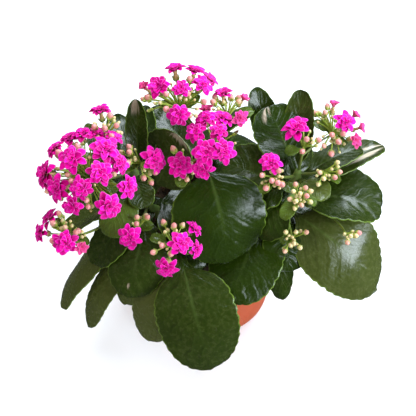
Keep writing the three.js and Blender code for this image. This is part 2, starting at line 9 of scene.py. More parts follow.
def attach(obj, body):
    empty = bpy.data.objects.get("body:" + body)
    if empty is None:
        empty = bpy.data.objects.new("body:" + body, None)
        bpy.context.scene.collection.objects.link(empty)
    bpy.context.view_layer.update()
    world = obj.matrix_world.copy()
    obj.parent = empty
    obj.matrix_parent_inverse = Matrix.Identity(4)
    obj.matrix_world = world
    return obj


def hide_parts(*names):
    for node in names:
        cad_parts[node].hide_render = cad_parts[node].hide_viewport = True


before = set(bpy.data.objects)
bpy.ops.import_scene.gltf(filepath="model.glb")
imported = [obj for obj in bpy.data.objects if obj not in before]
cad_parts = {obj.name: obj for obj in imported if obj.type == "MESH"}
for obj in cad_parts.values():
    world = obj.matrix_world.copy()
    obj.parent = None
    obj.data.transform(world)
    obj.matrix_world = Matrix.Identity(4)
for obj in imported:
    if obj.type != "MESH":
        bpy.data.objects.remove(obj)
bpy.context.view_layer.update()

# ---------- Pot ----------
# A tapered grower's pot, injection moulded in terracotta-coloured plastic: a thin wall,
# a thicker rim band with a rolled lip, and drain holes punched through its flat floor.

MM = 0.001
POT_HEIGHT = 105 * MM
POT_TOP_RADIUS = 60 * MM
POT_BASE_RADIUS = 45 * MM
POT_WALL = 1.8 * MM
RIM_HEIGHT = 13 * MM
RIM_STEP = 2.4 * MM
RIM_FILLET = 0.9 * MM
LIP_ROUND = 1.1 * MM
FOOT_ROUND = 1.5 * MM
POT_SEGMENTS = 128
DRAIN_HOLES = 6
DRAIN_HOLE_RADIUS = 4 * MM
DRAIN_RING_RADIUS = 30 * MM
SHARP_ANGLE = 38


class Field:
    """What a node works out at each point. A sum with a field adds the nodes of that sum."""

    def __init__(self, tree, socket):
        self.tree, self.socket = tree, socket

    def beside(self, name):
        """Another result of the same node."""
        return Field(self.tree, self.socket.node.outputs[name])

    def maths(self, operation, *others):
        values = dict(enumerate((self, *others)))
        return node(self.tree, "ShaderNodeMath", values, operation=operation)

    def __add__(self, other):
        return self.maths("ADD", other)

    def __sub__(self, other):
        return self.maths("SUBTRACT", other)

    def __mul__(self, other):
        return self.maths("MULTIPLY", other)

    def __abs__(self):
        return self.maths("ABSOLUTE")


def put(tree, socket, value):
    """Gives an input a plain value, or links a field to it."""
    if isinstance(value, Field):
        tree.links.new(value.socket, socket)
    else:
        socket.default_value = value


def node(tree, kind, inputs=None, result=0, **settings):
    """Adds a node and gives one of its results as a field."""
    made = tree.nodes.new(kind)
    for key, value in settings.items():
        setattr(made, key, value)
    for key, value in (inputs or {}).items():
        put(tree, made.inputs[key], value)
    return Field(tree, made.outputs[result])


def ramp(field, low, high, dark=0.0, light=1.0):
    """A value that goes smoothly from dark to light while the field goes from low to high."""
    ends = {"From Min": low, "From Max": high, "To Min": dark, "To Max": light}
    return node(field.tree, "ShaderNodeMapRange", {"Value": field, **ends},
                interpolation_type="SMOOTHSTEP")


def tint(share, first, second):
    """A colour between two colours, each given as red, green and blue or as a field."""
    first, second = (c if isinstance(c, Field) else (*c, 1) for c in (first, second))
    return node(share.tree, "ShaderNodeMix", {0: share, 6: first, 7: second}, 2, data_type="RGBA")


def noise_field(tree, place, stretch, scale, detail, roughness):
    """Soft noise at the given places, which may be stretched first."""
    if stretch:
        place = node(tree, "ShaderNodeMapping", {"Vector": place, "Scale": stretch})
    return node(tree, "ShaderNodeTexNoise", {"Vector": place, "Scale": scale, "Detail": detail,
                                             "Roughness": roughness})


def cloud(tree, scale, detail=3.0, roughness=0.5, stretch=None):
    """Soft noise in object space; the scale is in patches for each metre."""
    place = node(tree, "ShaderNodeTexCoord", result="Object")
    return noise_field(tree, place, stretch, scale, detail, roughness)


def attribute(tree, name):
    """A number that the mesh carries at each of its points."""
    return node(tree, "ShaderNodeAttribute", result="Fac", attribute_name=name)


def new_material(name):
    material = bpy.data.materials.new(name)
    material.use_nodes = True
    return material, material.node_tree


def finish(material, bumps=None, depth=0.0, **sockets):
    """Gives a material what its shader takes, and bumps as deep as a distance in metres. What
    is the same all over the surface is set on the shader's own sockets."""
    tree = material.node_tree
    if bumps:
        sockets["Normal"] = node(tree, "ShaderNodeBump", {"Height": bumps, "Distance": depth,
                                                          "Strength": 1.0})
    for name, value in sockets.items():
        put(tree, tree.nodes["Principled BSDF"].inputs[name.replace("_", " ")], value)
    return material


def new_object(name, data):
    """A new object in the scene, at the origin."""
    thing = bpy.data.objects.new(name, data)
    bpy.context.collection.objects.link(thing)
    return thing


def new_piece(name, mesh, material, slot, *nodes):
    """A finished piece: it rides with the plant and stands for the given nodes of the frame."""
    mesh.name = name
    if material:
        mesh.materials.clear()
        mesh.materials.append(material)
    piece = new_object(name, mesh)
    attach(piece, "root")
    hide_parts(*nodes)


def new_mesh(name, points, faces=(), edges=(), **data):
    """A mesh that carries a number or a vector at each point for each name in data."""
    mesh = bpy.data.meshes.new(name)
    mesh.from_pydata(points, edges, faces)
    for label, values in data.items():
        kind, key = ("FLOAT", "value")
        if isinstance(values[0], Vector):
            kind, key = ("FLOAT_VECTOR", "vector")
        mesh.attributes.new(label, kind, "POINT").data.foreach_set(key, np.ravel(values))
    return mesh


def circle(radius, count, offset=0):
    """Evenly spaced points of a circle round the origin."""
    angles = [2 * math.pi * (k + offset) / count for k in range(count)]
    return [(radius * math.cos(a), radius * math.sin(a)) for a in angles]


def turned(profile, segments):
    """A closed round mesh from a profile of radius and height that runs from axis to axis."""
    points = [(0, 0, profile[0][1])]
    points += [(x, y, height) for radius, height in profile[1:-1]
               for x, y in circle(radius, segments)]
    points.append((0, 0, profile[-1][1]))
    last = len(points) - 1 - segments
    faces = []
    for k in range(segments):
        after = (k + 1) % segments
        faces.append((0, 1 + after, 1 + k))
        for low in range(1, last, segments):
            high = low + segments
            faces.append((low + k, low + after, high + after, high + k))
        faces.append((last + k, last + after, last + segments))
    return new_mesh("turned", points, faces)


def evaluated_mesh(thing):
    """The mesh that an object has after its modifiers; the object itself is removed."""
    depsgraph = bpy.context.evaluated_depsgraph_get()
    mesh = bpy.data.meshes.new_from_object(thing.evaluated_get(depsgraph),
                                           preserve_all_data_layers=True, depsgraph=depsgraph)
    bpy.data.objects.remove(thing)
    return mesh


def wall_radius(height):
    """The radius of the pot's outer wall under its rim band."""
    return POT_BASE_RADIUS + (POT_TOP_RADIUS - RIM_STEP - POT_BASE_RADIUS) * height / POT_HEIGHT


def arc(centre, radius, start, end, steps):
    """Points of a round corner of a profile; the angles are in degrees."""
    angles = [math.radians(start + (end - start) * k / steps) for k in range(steps + 1)]
    return [(centre[0] + radius * math.cos(a), centre[1] + radius * math.sin(a)) for a in angles]


def pot_profile():
    """The wall's outline: underside, foot, outer wall, rim band, lip, inner wall and floor."""
    rim_foot = POT_HEIGHT - RIM_HEIGHT
    lip_height = POT_HEIGHT - LIP_ROUND
    corner = 2 * MM
    return [
        (0, 0.35 * MM), (20 * MM, 0.35 * MM), (21 * MM, 0),
        (POT_BASE_RADIUS - FOOT_ROUND, 0),
        *arc((POT_BASE_RADIUS - FOOT_ROUND, FOOT_ROUND), FOOT_ROUND, -72, -6, 5),
        *((wall_radius(h), h) for h in (30 * MM, 62 * MM)),
        (wall_radius(rim_foot) - 0.1 * MM, rim_foot - 0.6 * MM),
        *arc((POT_TOP_RADIUS - RIM_FILLET - 0.2 * MM, rim_foot + RIM_FILLET), RIM_FILLET,
             -88, -4, 4),
        *arc((POT_TOP_RADIUS - LIP_ROUND, lip_height), LIP_ROUND, 2, 90, 5),
        *arc((wall_radius(POT_HEIGHT) - 0.2 * MM, lip_height), LIP_ROUND, 92, 168, 4),
        *((wall_radius(h) - POT_WALL, h) for h in (POT_HEIGHT - 1.4 * MM, rim_foot, 55 * MM)),
        *arc((wall_radius(0) - POT_WALL - corner, POT_WALL + corner), corner, 0, -90, 4),
        (0, POT_WALL),
    ]


def pot_mesh():
    """The turned wall, less one drill for each drain hole."""
    pot = new_object("pot_blank", turned(pot_profile(), POT_SEGMENTS))
    drills = bmesh.new()
    for x, y in circle(DRAIN_RING_RADIUS, DRAIN_HOLES, 0.5):
        bmesh.ops.create_cone(drills, cap_ends=True, segments=24, radius1=DRAIN_HOLE_RADIUS,
                              radius2=DRAIN_HOLE_RADIUS, depth=4 * POT_WALL,
                              matrix=Matrix.Translation((x, y, 0)))
    drill_mesh = bpy.data.meshes.new("drills")
    drills.to_mesh(drill_mesh)
    drills.free()
    drill = new_object("drills", drill_mesh)
    cut = pot.modifiers.new("drain_holes", "BOOLEAN")
    cut.operation = "DIFFERENCE"
    cut.object = drill
    mesh = evaluated_mesh(pot)
    bpy.data.objects.remove(drill)
    mesh.shade_smooth()
    mesh.set_sharp_from_angle(angle=math.radians(SHARP_ANGLE))
    return mesh


def pot_plastic():
    """Terracotta-coloured plastic: faint flow marks, pale rub marks at the lip, soil dust low."""
    material, tree = new_material("pot_plastic")
    flow = cloud(tree, 60, 4, 0.6, (1, 1, 0.15))
    speckle = cloud(tree, 1500, 2)
    place = node(tree, "ShaderNodeTexCoord", result="Object")
    height = node(tree, "ShaderNodeSeparateXYZ", {0: place}, "Z")
    colour = tint(flow, (0.50, 0.075, 0.022), (0.62, 0.108, 0.036))
    rubbed = ramp(height, 0.101, 0.105) * ramp(flow, 0.4, 0.65)
    colour = tint(rubbed * 0.5, colour, (0.78, 0.42, 0.28))
    dusty = ramp(height, 0.016, 0.002) * ramp(speckle, 0.45, 0.62)
    colour = tint(dusty * 0.35, colour, (0.22, 0.13, 0.08))
    return finish(material, speckle, 0.00006, Base_Color=colour, Subsurface_Weight=0.05,
                  Roughness=ramp(flow, 0.3, 0.7, 0.36, 0.5))


new_piece("pot_wall", pot_mesh(), pot_plastic(), "pot_plastic", "pot")

# ---------- Soil ----------
# Peat that fills the pot to about a centimetre under its lip, in one lumpy plug. Loose
# crumbs of peat and bark lie on it, with white grains of perlite between them.

SOIL_TOP = 94 * MM
SOIL_FOOT = 2.2 * MM
FIT_GAP = 0.3 * MM
SOIL_SEGMENTS = 96
SOIL_RINGS = 22
CRUMB_DENSITY = 62000.0
PERLITE_DENSITY = 2600.0
# Gentle rolls and small lumps: waves to each metre, height in mm, and the level of the noise.
SOIL_RELIEF = ((45, 2.2, 0), (210, 1.1, 0.3))


def soil_mesh():
    """A plug whose top rolls gently, with small lumps."""
    side = [(wall_radius(h) - POT_WALL - FIT_GAP, h)
            for h in (SOIL_FOOT, 40 * MM, SOIL_TOP - 3 * MM)]
    shoulder = side[-1][0]
    top = [(shoulder * (1 - k / SOIL_RINGS), SOIL_TOP - 1 * MM) for k in range(1, SOIL_RINGS)]
    mesh = turned([(0, SOIL_FOOT), *side, *top, (0, SOIL_TOP)], SOIL_SEGMENTS)
    for point in mesh.vertices:
        x, y, z = point.co
        if z > SOIL_TOP - 2 * MM:
            rise = sum(noise.noise(Vector((x, y, level)) * waves) * height
                       for waves, height, level in SOIL_RELIEF)
            point.co.z = z + (rise + 0.6) * MM
    mesh.shade_smooth()
    return mesh


def new_tree(name, **sockets):
    """A Geometry Nodes tree and its named inputs, each with its kind of socket."""
    tree = bpy.data.node_groups.new(name, "GeometryNodeTree")
    for label, kind in sockets.items():
        tree.interface.new_socket(name=label, in_out="INPUT", socket_type="NodeSocket" + kind)
    tree.interface.new_socket(name="Mesh", in_out="OUTPUT", socket_type="NodeSocketGeometry")
    given = tree.nodes.new("NodeGroupInput").outputs
    return tree, {label: Field(tree, given[label]) for label in sockets}


def close_tree(tree, geometry, material):
    """Ends a tree: its instances are made real, shaded smooth and given their material."""
    real = node(tree, "GeometryNodeRealizeInstances", {"Geometry": geometry})
    smoothed = node(tree, "GeometryNodeSetShadeSmooth", {"Geometry": real, "Shade Smooth": True})
    painted = node(tree, "GeometryNodeSetMaterial", {"Geometry": smoothed, "Material": material})
    put(tree, tree.nodes.new("NodeGroupOutput").inputs[0], painted)
    return tree


def grown(mesh, tree, **values):
    """The plain mesh that a tree makes from a starting mesh and its named inputs."""
    host = new_object("host", mesh)
    modifier = host.modifiers.new(tree.name, "NODES")
    modifier.node_group = tree
    for item in tree.interface.items_tree:
        if item.in_out == "INPUT" and item.name in values:
            modifier[item.identifier] = values[item.name]
    return evaluated_mesh(host)


def random_value(tree, low, high, seed):
    """A repeatable random number for each point or instance."""
    return node(tree, "FunctionNodeRandomValue", {2: low, 3: high, "Seed": seed}, 1,
                data_type="FLOAT")


def scaled(tree, vector, amount):
    return node(tree, "ShaderNodeVectorMath", {0: vector, "Scale": amount}, operation="SCALE")


def instances(tree, points, thing, rotation, size):
    """A copy of a thing at each point; its size is a field for each of its axes."""
    return node(tree, "GeometryNodeInstanceOnPoints",
                {"Points": points, "Instance": thing, "Rotation": rotation,
                 "Scale": node(tree, "ShaderNodeCombineXYZ", dict(enumerate(size)))})


def crumb_tree():
    """Scatters little knobbly grains over the upward faces of a surface."""
    tree, inputs = new_tree("scattered_crumbs", Ground="Geometry", Density="Float",
                            Smallest="Float", Largest="Float", Seed="Int", Finish="Material")
    upward = node(tree, "ShaderNodeSeparateXYZ", {0: node(tree, "GeometryNodeInputNormal")}, "Z")
    chosen = node(tree, "FunctionNodeCompare", {0: upward, 1: 0.6}, data_type="FLOAT",
                  operation="GREATER_THAN")
    spread = node(tree, "GeometryNodeDistributePointsOnFaces",
                  {"Mesh": inputs["Ground"], "Selection": chosen, "Density": inputs["Density"],
                   "Seed": inputs["Seed"]})
    grain = node(tree, "GeometryNodeMeshIcoSphere", {"Radius": 1.0, "Subdivisions": 2})
    place = node(tree, "GeometryNodeInputPosition")
    rough = node(tree, "ShaderNodeTexNoise", {"Vector": place, "Scale": 1.7, "Detail": 2.0})
    knobbly = scaled(tree, place, rough * 1.2 + 0.3)
    grain = node(tree, "GeometryNodeSetPosition", {"Geometry": grain, "Position": knobbly})
    share = random_value(tree, 0.0, 1.0, 3).maths("POWER", 2.2)
    size = share * (inputs["Largest"] - inputs["Smallest"]) + inputs["Smallest"]
    turn = node(tree, "FunctionNodeRandomValue", {1: (6.28, 6.28, 6.28), "Seed": 5},
                data_type="FLOAT_VECTOR")
    laid = instances(tree, spread, grain, turn, (size, size * 0.7, size * 0.7))
    return close_tree(tree, laid, inputs["Finish"])


def peat(name, dark, light, grain):
    """Crumbly soil in two shades, with a rough surface."""
    material, tree = new_material(name)
    patches = ramp(cloud(tree, grain, 5, 0.65), 0.35, 0.7)
    return finish(material, cloud(tree, 3 * grain, 4, 0.7), 0.0006, Roughness=0.9,
                  Base_Color=tint(patches, dark, light), Specular_IOR_Level=0.25)


soil_ground = soil_mesh()
crumbs = crumb_tree()
dark_peat = peat("dark_peat", (0.012, 0.007, 0.004), (0.075, 0.042, 0.022), 260)
bark = peat("bark_crumbs", (0.03, 0.015, 0.008), (0.17, 0.09, 0.045), 400)
perlite = peat("perlite", (0.55, 0.52, 0.46), (0.8, 0.78, 0.72), 300)
for name, density, smallest, largest, seed, material in (
        ("soil_crumbs", CRUMB_DENSITY, 0.5 * MM, 2.4 * MM, 11, bark),
        ("soil_perlite", PERLITE_DENSITY, 0.7 * MM, 1.8 * MM, 23, perlite)):
    grains = grown(soil_ground.copy(), crumbs, Density=density, Smallest=smallest,
                   Largest=largest, Seed=seed, Finish=material)
    new_piece(name, grains, None, "peat_soil", "soil")
new_piece("soil_plug", soil_ground, dark_peat, "peat_soil", "soil")

# ---------- Stems ----------
# Three cuttings rooted in one pot, each a round fleshy stem that is green above and corky
# brown at its foot. It swells a little at each pair of leaves. The centre one has a branch.

SOIL_EXIT = 98
STEM_FOOT = 68
STEM_FOOT_RADIUS = 4
STEM_TIP_RADIUS = 2.4
BRANCH_RADIUS = 3.2
STEM_STEPS = 48
JOINT_SWELLING = 0.55
JOINT_LENGTH = 1.6

STEMS = {
    "left": [(-27, -8, SOIL_EXIT), (-38, -12, 122), (-48, -12, 150), (-52, -11, 172)],
    "centre": [(2, 8, SOIL_EXIT), (-2, 9, 130), (-6, 8, 160), (-7, 4, 178)],
    "right": [(29, 0, SOIL_EXIT), (46, -7, 122), (55, -9, 148), (58, -8, 166)],
    "front": [(1, 7, 102), (-9, -16, 112), (-21, -38, 122), (-26, -48, 136)],
}
PLANTS = {"left": ["left"], "centre": ["centre", "front"], "right": ["right"]}


def stem_point(stem, share):
    """A point of a stem's axis: a centripetal curve through its points, as in the frame."""
    points = [Vector(p) for p in STEMS[stem]]
    points = [2 * points[0] - points[1], *points, 2 * points[-1] - points[-2]]
    spans = len(points) - 3
    first = min(int(share * spans), spans - 1)
    weight = share * spans - first
    a, b, c, d = points[first:first + 4]
    before, within, after = ((q - p).length ** 0.5 for p, q in ((a, b), (b, c), (c, d)))
    leave = ((b - a) / before - (c - a) / (before + within) + (c - b) / within) * within
    arrive = ((c - b) / within - (d - b) / (within + after) + (d - c) / after) * within
    square, cube = weight * weight, weight ** 3
    return (b * (2 * cube - 3 * square + 1) + c * (3 * square - 2 * cube)
            + leave * (cube - 2 * square + weight) + arrive * (cube - square))


def axis_at(stem, height):
    """The point of a stem's axis at a height, found by halving the curve."""
    low, high = 0.0, 1.0
    for _ in range(24):
        middle = (low + high) / 2
        if stem_point(stem, middle).z < height:
            low = middle
        else:
            high = middle
    return stem_point(stem, low)


def route_mesh(routes):
    """A wire mesh of routes: each is its points, with a radius and a ripeness for each."""
    places, edges, girths, ripe = [], [], [], []
    for points, radii, ripeness in routes:
        start = len(places)
        edges += [(start + k, start + k + 1) for k in range(len(points) - 1)]
        places += [tuple(p * MM) for p in points]
        girths += [r * MM for r in radii]
        ripe += ripeness
    return new_mesh("routes", places, edges=edges, girth=girths, ripeness=ripe)


def named(tree, name, kind="FLOAT"):
    """What the points that go into a tree carry under a name."""
    return node(tree, "GeometryNodeInputNamedAttribute", {"Name": name}, "Attribute",
                data_type=kind)


def stalk_tree():
    """Makes each route of a wire mesh a round stalk of its own girth, closed at its ends."""
    tree, inputs = new_tree("stalks", Routes="Geometry", Sides="Int", Finish="Material")
    curve = node(tree, "GeometryNodeMeshToCurve", {"Mesh": inputs["Routes"]})
    section = node(tree, "GeometryNodeCurvePrimitiveCircle", {"Resolution": inputs["Sides"],
                                                              "Radius": 1.0})
    skin = node(tree, "GeometryNodeCurveToMesh",
                {"Curve": curve, "Profile Curve": section, "Scale": named(tree, "girth"),
                 "Fill Caps": True})
    return close_tree(tree, skin, inputs["Finish"])


def stem_route(stem, nodes):
    """A stem's axis with its girth: thick at the foot, swollen at each height in nodes."""
    planted = stem in PLANTS
    root = STEM_FOOT_RADIUS if planted else BRANCH_RADIUS
    shares = [k / STEM_STEPS for k in range(STEM_STEPS + 1)]
    points = [stem_point(stem, share) for share in shares]
    radii = [root + (STEM_TIP_RADIUS - root) * share ** 1.5 for share in shares]
    if planted:
        below = [Vector((points[0].x, points[0].y, z)) for z in (STEM_FOOT, 80, 90, 95)]
        points = below + points
        radii = [root] * len(below) + radii
    radii = [r + JOINT_SWELLING * sum(math.exp(-((p.z - h) / JOINT_LENGTH) ** 2) for h in nodes)
             for p, r in zip(points, radii)]
    radii[-1] *= 0.6
    tip = points[-1] + (points[-1] - points[-2]).normalized() * 1.2
    ripeness = [min(1.0, max(0.0, (p.z - SOIL_EXIT) / 40)) for p in points]
    return points + [tip], radii + [0.5], ripeness + [1.0]


def stem_skin():
    """Smooth green stem, corky brown towards its foot, with fine lengthwise lines."""
    material, tree = new_material("stem_skin")
    patches = cloud(tree, 220, 4, 0.6)
    green = tint(patches, (0.10, 0.17, 0.03), (0.19, 0.27, 0.06))
    corky = tint(patches, (0.10, 0.07, 0.035), (0.22, 0.17, 0.09))
    young = ramp(patches * 0.5 + attribute(tree, "ripeness"), 0.3, 0.75)
    return finish(material, cloud(tree, 900, 3, 0.5, (1, 1, 0.2)), 0.0002, Roughness=0.45,
                  Base_Color=tint(young, corky, green), Subsurface_Weight=0.08,
                  Subsurface_Scale=0.002)


# ---------- Leaves ----------
# Broad fleshy blades on short channelled petioles, grown in one with their stem: waxy dark
# green above, matt and paler below, with a scalloped yellow-green margin and a sunk midrib.

LEAF_MID_THICKNESS = 1.7
LEAF_EDGE_THICKNESS = 0.9
PETIOLE_LENGTH = 11
PETIOLE_SHARE = 0.25
PETIOLE_WIDTH = 5
PETIOLE_THICKNESS = 3.2
BLADE_FOOT = 0.78
BLADE_SHOULDER = 0.28
BLADE_ROUNDNESS = 0.4
BLADE_MERGE = 0.14
OUTLINE_ANGLES = (0.28, math.pi - 0.03)
FACE_LEAN = 0.35
SCALLOP_LENGTH = 7.5
SCALLOP_DEPTH = 0.038
MARGIN_WAVE = 0.9
MARGIN_WAVES = (9, 14)
MIDRIB_ROUNDING = 0.012
MIDRIB_WIDTH = 1.5
MIDRIB_SINK = 0.5
KEEL_DEPTH = 0.8
BLADE_SAG = 0.025
RIM_REACH = 0.28
VEIN_SPACING = 9
QUILTING = 0.3
PETIOLE_ROWS = 5
BLADE_ROWS = 44
LEAF_COLUMNS = 21
COLUMN_CROWDING = 0.86

# How pale each kind of mark is, from brown to cream: brown, scar and tan are dry marks,
# and cream is a pale stripe that is partly painted reflection.
MARK_PALENESS = {"brown": 0.0, "scar": 0.45, "tan": 0.55, "cream": 1.0}

# Each leaf: the height at which it leaves its stem, its tip, its width, the rise of its
# midrib over its chord, the roll about the midrib, the fold of the two halves, its tone
# from dark to olive, and then its marks, each a kind, a place along and across, a
# length along and a width across. The brown, scar and tan marks are dry patches; the cream
# marks are pale stripes that are partly painted reflection of the windows.
LEAVES = {
    "left": [
        (128, (-56, -69, 102), 42, 10, 0, -12, 0.35, ("scar", 0.86, 0.12, 0.035, 0.07)),
        (114, (-60, -60, 76), 26, 17, 0, -8, 1.3),
        (122, (-108, -57, 66), 28, 14, 20, -15, 1.0),
        (112, (-89, -67, 55), 21, 18, 0, -12, 0.95),
        (138, (-101, -30, 126), 24, 4, 20, 10, 0.5, ("brown", 0.42, -0.2, 0.10, 0.35)),
        (132, (-81, -46, 108), 28, 8, 0, 0, 0.3),
        (160, (-67, -53, 154), 24, 5, 0, -10, 1.5),
        (166, (-44, -36, 162), 18, 3, 0, 8, 0.3),
        (136, (-23, 12, 179), 45, -4, 0, 8, 0.45, ("tan", 1.0, 0.3, 0.10, 0.8)),
        (156, (-50, 27, 197), 16, -3, 0, 24, 0.3, ("tan", 0.95, -0.2, 0.16, 0.6)),
        (148, (-47, 44, 170), 20, 4, 0, 10, 0.1),
        (138, (-69, 50, 152), 22, 4, 0, 10, 0.1),
        (120, (-88, 30, 96), 34, 10, 0, -10, 0.3),
        (130, (-58, 42, 116), 28, 8, 0, -8, 0.2),
        (140, (-8, -27, 134), 46, 3, 0, 0, 0.1),
        (158, (-92, -26, 166), 32, 2, 0, 6, 0.3),
        (168, (-80, 4, 190), 22, 0, 0, 10, 0.3),
    ],
    "centre": [
        (164, (12, -54, 124), 64, 12, 0, -8, -0.15),
        (146, (-44, 50, 158), 28, 5, 0, 8, 0.1),
        (166, (28, 27, 186), 14, 4, 0, 30, 0.1),
        (142, (-14, 62, 118), 30, 10, 0, -8, 0.2),
        (130, (-22, 70, 98), 40, 17, 0, -8, 0.3),
        (120, (24, 74, 90), 38, 21, 0, -8, 0.2),
    ],
    "front": [
        (124, (1, -107, 70), 56, 17, 15, -10, 0.3, ("scar", 0.62, -0.45, 0.02, 0.05)),
        (116, (-44, -84, 66), 38, 19, 0, -10, 1.25),
        (118, (-4, -50, 110), 18, 3, 0, -5, 0.2),
    ],
    "right": [
        (142, (8, 11, 147), 41, 6, -12, 8, 0.35),
        (147, (28, -34, 128), 37, 4, 0, -5, 0.1),
        (122, (54, -52, 108), 32, 8, 0, -5, 0.1),
        (157, (75, -31, 165), 18, 3, 0, 10, 1.5),
        (134, (117, -14, 131), 45, 7, 0, 14, 0.3),
        (124, (117, -50, 83), 58, 18, 15, -10, 0.6),
        (112, (13, -76, 107), 50, 9, 0, -10, 0.1),
        (108, (50, -61, 84), 20, 18, 0, -8, 0.2),
        (142, (29, 44, 189), 21, -2, 0, 10, 0.2),
        (160, (38, 30, 186), 38, 2, 0, 6, -0.3, ("tan", 0.90, -0.42, 0.17, 0.11),
         ("tan", 0.95, -0.08, 0.13, 0.08)),
        (150, (60, 37, 195), 21, -3, 0, 14, 0.5),
        # Painted reflection in part: this leaf's cream marks are its own pale stripes, widened to
        # stand for the windows mirrored on it.
        (142, (121, 30, 143), 21, 6, 0, 10, 0.5, ("cream", 0.72, 0.45, 0.28, 0.18),
         ("cream", 0.86, -0.15, 0.16, 0.14)),
        (152, (103, 19, 155), 20, 6, 0, 10, 0.35),
        (138, (60, 54, 122), 30, 8, 0, -8, 0.2),
        (122, (86, 58, 94), 38, 14, 0, -8, 0.3),
        (140, (80, -14, 138), 22, 3, 0, 0, 0.4),
        (152, (31, -16, 139), 22, 3, 0, 0, 0.1),
        (118, (76, -12, 113), 26, 2, 0, 0, 0.1),
    ],
}


def smooth(x):
    """A smooth step from 0 to 1, for numbers and arrays."""
    x = np.clip(x, 0, 1)
    return x * x * (3 - 2 * x)


def unit(vectors):
    return vectors / np.linalg.norm(vectors, axis=-1, keepdims=True)


def spread_along(directions, amounts):
    """Steps along each row's direction, as long as each amount of its row."""
    return directions[:, None] * amounts[..., None]


def turn_about(vector, axis, degrees):
    return Quaternion(axis, math.radians(degrees)) @ vector


def leaf_rows(length, rows):
    """For each row of a leaf, as columns: its place on the midrib, its place on the blade and
    the angle round the outline, from the foot of the petiole to the tip."""
    petiole = min(PETIOLE_LENGTH, PETIOLE_SHARE * length) / length
    angle = np.linspace(*OUTLINE_ANGLES, rows)
    blade = (1 - np.cos(angle)) / 2
    blade = (blade - blade[0]) / (blade[-1] - blade[0])
    along = [*np.linspace(0, petiole, PETIOLE_ROWS, endpoint=False),
             *(petiole + (1 - petiole) * blade)]
    columns = (along, [0] * PETIOLE_ROWS + list(blade), [angle[0]] * PETIOLE_ROWS + list(angle))
    return (np.array(column)[:, None] for column in columns)


def leaf_rings(axis, tip, width, arch, roll, fold, random, rows, columns):
    """A leaf's rows as closed rings of points: the upper face from margin to margin, a rim
    point, the lower face back and the other rim point. Also the place along the blade of each
    row, and across it of each column."""
    end = Vector(tip)
    base = axis + (end - axis).normalized() * 0.5 * STEM_TIP_RADIUS
    chord = end - base
    along_chord = chord.normalized()
    outward = Vector((chord.x, chord.y, 0)).normalized()
    face = Vector((0, 0, 1)) - FACE_LEAN * outward
    face = (face - along_chord * face.dot(along_chord)).normalized()
    face = turn_about(face, along_chord, roll)
    bend = (base + end) / 2 + face * 2 * arch
    t, blade, angle = leaf_rows(chord.length, rows)
    base, bend, end, face = (np.array(v) for v in (base, bend, end, face))
    middle = (1 - t) ** 2 * base + 2 * t * (1 - t) * bend + t * t * end
    ahead = unit(2 * (1 - t) * (bend - base) + 2 * t * (end - bend))
    side = unit(np.cross(ahead, face))
    normal = np.cross(side, ahead)

    shoulders = BLADE_FOOT + (1 - BLADE_FOOT) * smooth(blade / BLADE_SHOULDER)
    outline = np.sin(angle) ** (2 * BLADE_ROUNDNESS) * shoulders
    grown_out = smooth(blade / BLADE_MERGE)
    half = PETIOLE_WIDTH / 2 + (width / 2 * outline - PETIOLE_WIDTH / 2) * grown_out
    s = np.sin(np.linspace(-0.5, 0.5, columns) * math.pi * COLUMN_CROWDING)[None, :]
    s = s / s[0, -1]
    size = np.abs(s)
    round_size = np.sqrt(s * s + MIDRIB_ROUNDING) - math.sqrt(MIDRIB_ROUNDING) * (1 - size)
    turn = np.radians(fold) * (0.4 + 0.6 * size) * grown_out
    steps = np.linalg.norm(np.diff(middle + side * half, axis=0), axis=1)
    run = np.concatenate([[0], np.cumsum(steps)])[:, None]

    phases = random.uniform(0, 2 * math.pi, 6)
    right = s > 0
    waves = blade * random.uniform(*MARGIN_WAVES) + np.where(right, phases[0], phases[1])
    waves = np.sin(waves) * MARGIN_WAVE * s * s * grown_out
    ribs = (t * np.linalg.norm(end - base) - size * half * 0.75) / VEIN_SPACING
    quilt = np.sin(2 * math.pi * ribs + phases[2]) * size ** 0.5 * (1 - s ** 4)
    quilt = QUILTING * quilt * smooth(width / 40) * grown_out
    sag = BLADE_SAG * width * np.sin(blade * math.pi * 2 + phases[3]) * s
    lobe = np.abs(np.sin(math.pi * run / SCALLOP_LENGTH + np.where(right, phases[4], phases[5])))
    lobe = (lobe ** 0.7 - 0.6) * SCALLOP_DEPTH * (12 + width) * 0.6
    lobe = lobe * smooth((blade - 0.1) / 0.25) * np.sin(angle) ** 0.5 * size ** 6

    reach = s * half * np.cos(turn) + np.sign(s) * lobe * np.sin(angle)
    forward = lobe * np.clip(-np.cos(angle), 0, 1)
    lift = round_size * half * np.sin(turn) + waves + quilt + sag
    place = (middle[:, None] + spread_along(side, reach) + spread_along(ahead, forward)
             + spread_along(normal, lift))

    thick = LEAF_EDGE_THICKNESS + (LEAF_MID_THICKNESS - LEAF_EDGE_THICKNESS) * (1 - size ** 1.6)
    stalk = PETIOLE_THICKNESS * (1 - 0.5 * size ** 2)
    thick = stalk + (thick - stalk) * smooth(blade / 0.2)
    thick = thick * np.clip(np.sin(angle) * 2.2, 0.35, 1)
    lean = turn * np.sign(s)
    away = spread_along(normal, np.cos(lean)) - spread_along(side, np.sin(lean))
    rib = np.exp(-(s * half / MIDRIB_WIDTH) ** 2) * grown_out * (1 - 0.75 * blade)
    upper = place + away * (thick / 2 - MIDRIB_SINK * rib)[..., None]
    lower = place - away * (thick / 2 + KEEL_DEPTH * rib)[..., None]
    rim = place[:, [0, -1]] + spread_along(side, np.array([[-RIM_REACH, RIM_REACH]]))
    rings = np.concatenate([upper, rim[:, 1:], lower[:, ::-1], rim[:, :1]], axis=1)
    return rings, blade, s[0]


def ring_faces(start, rings, count, inside_out=False):
    """The faces between closed rings that lie one after another in a list of points."""
    faces = []
    for first in range(start, start + (rings - 1) * count, count):
        for k in range(count):
            a, b = first + k, first + (k + 1) % count
            c, d = a + count, b + count
            faces.append((a, c, d, b) if inside_out else (a, b, d, c))
    return faces


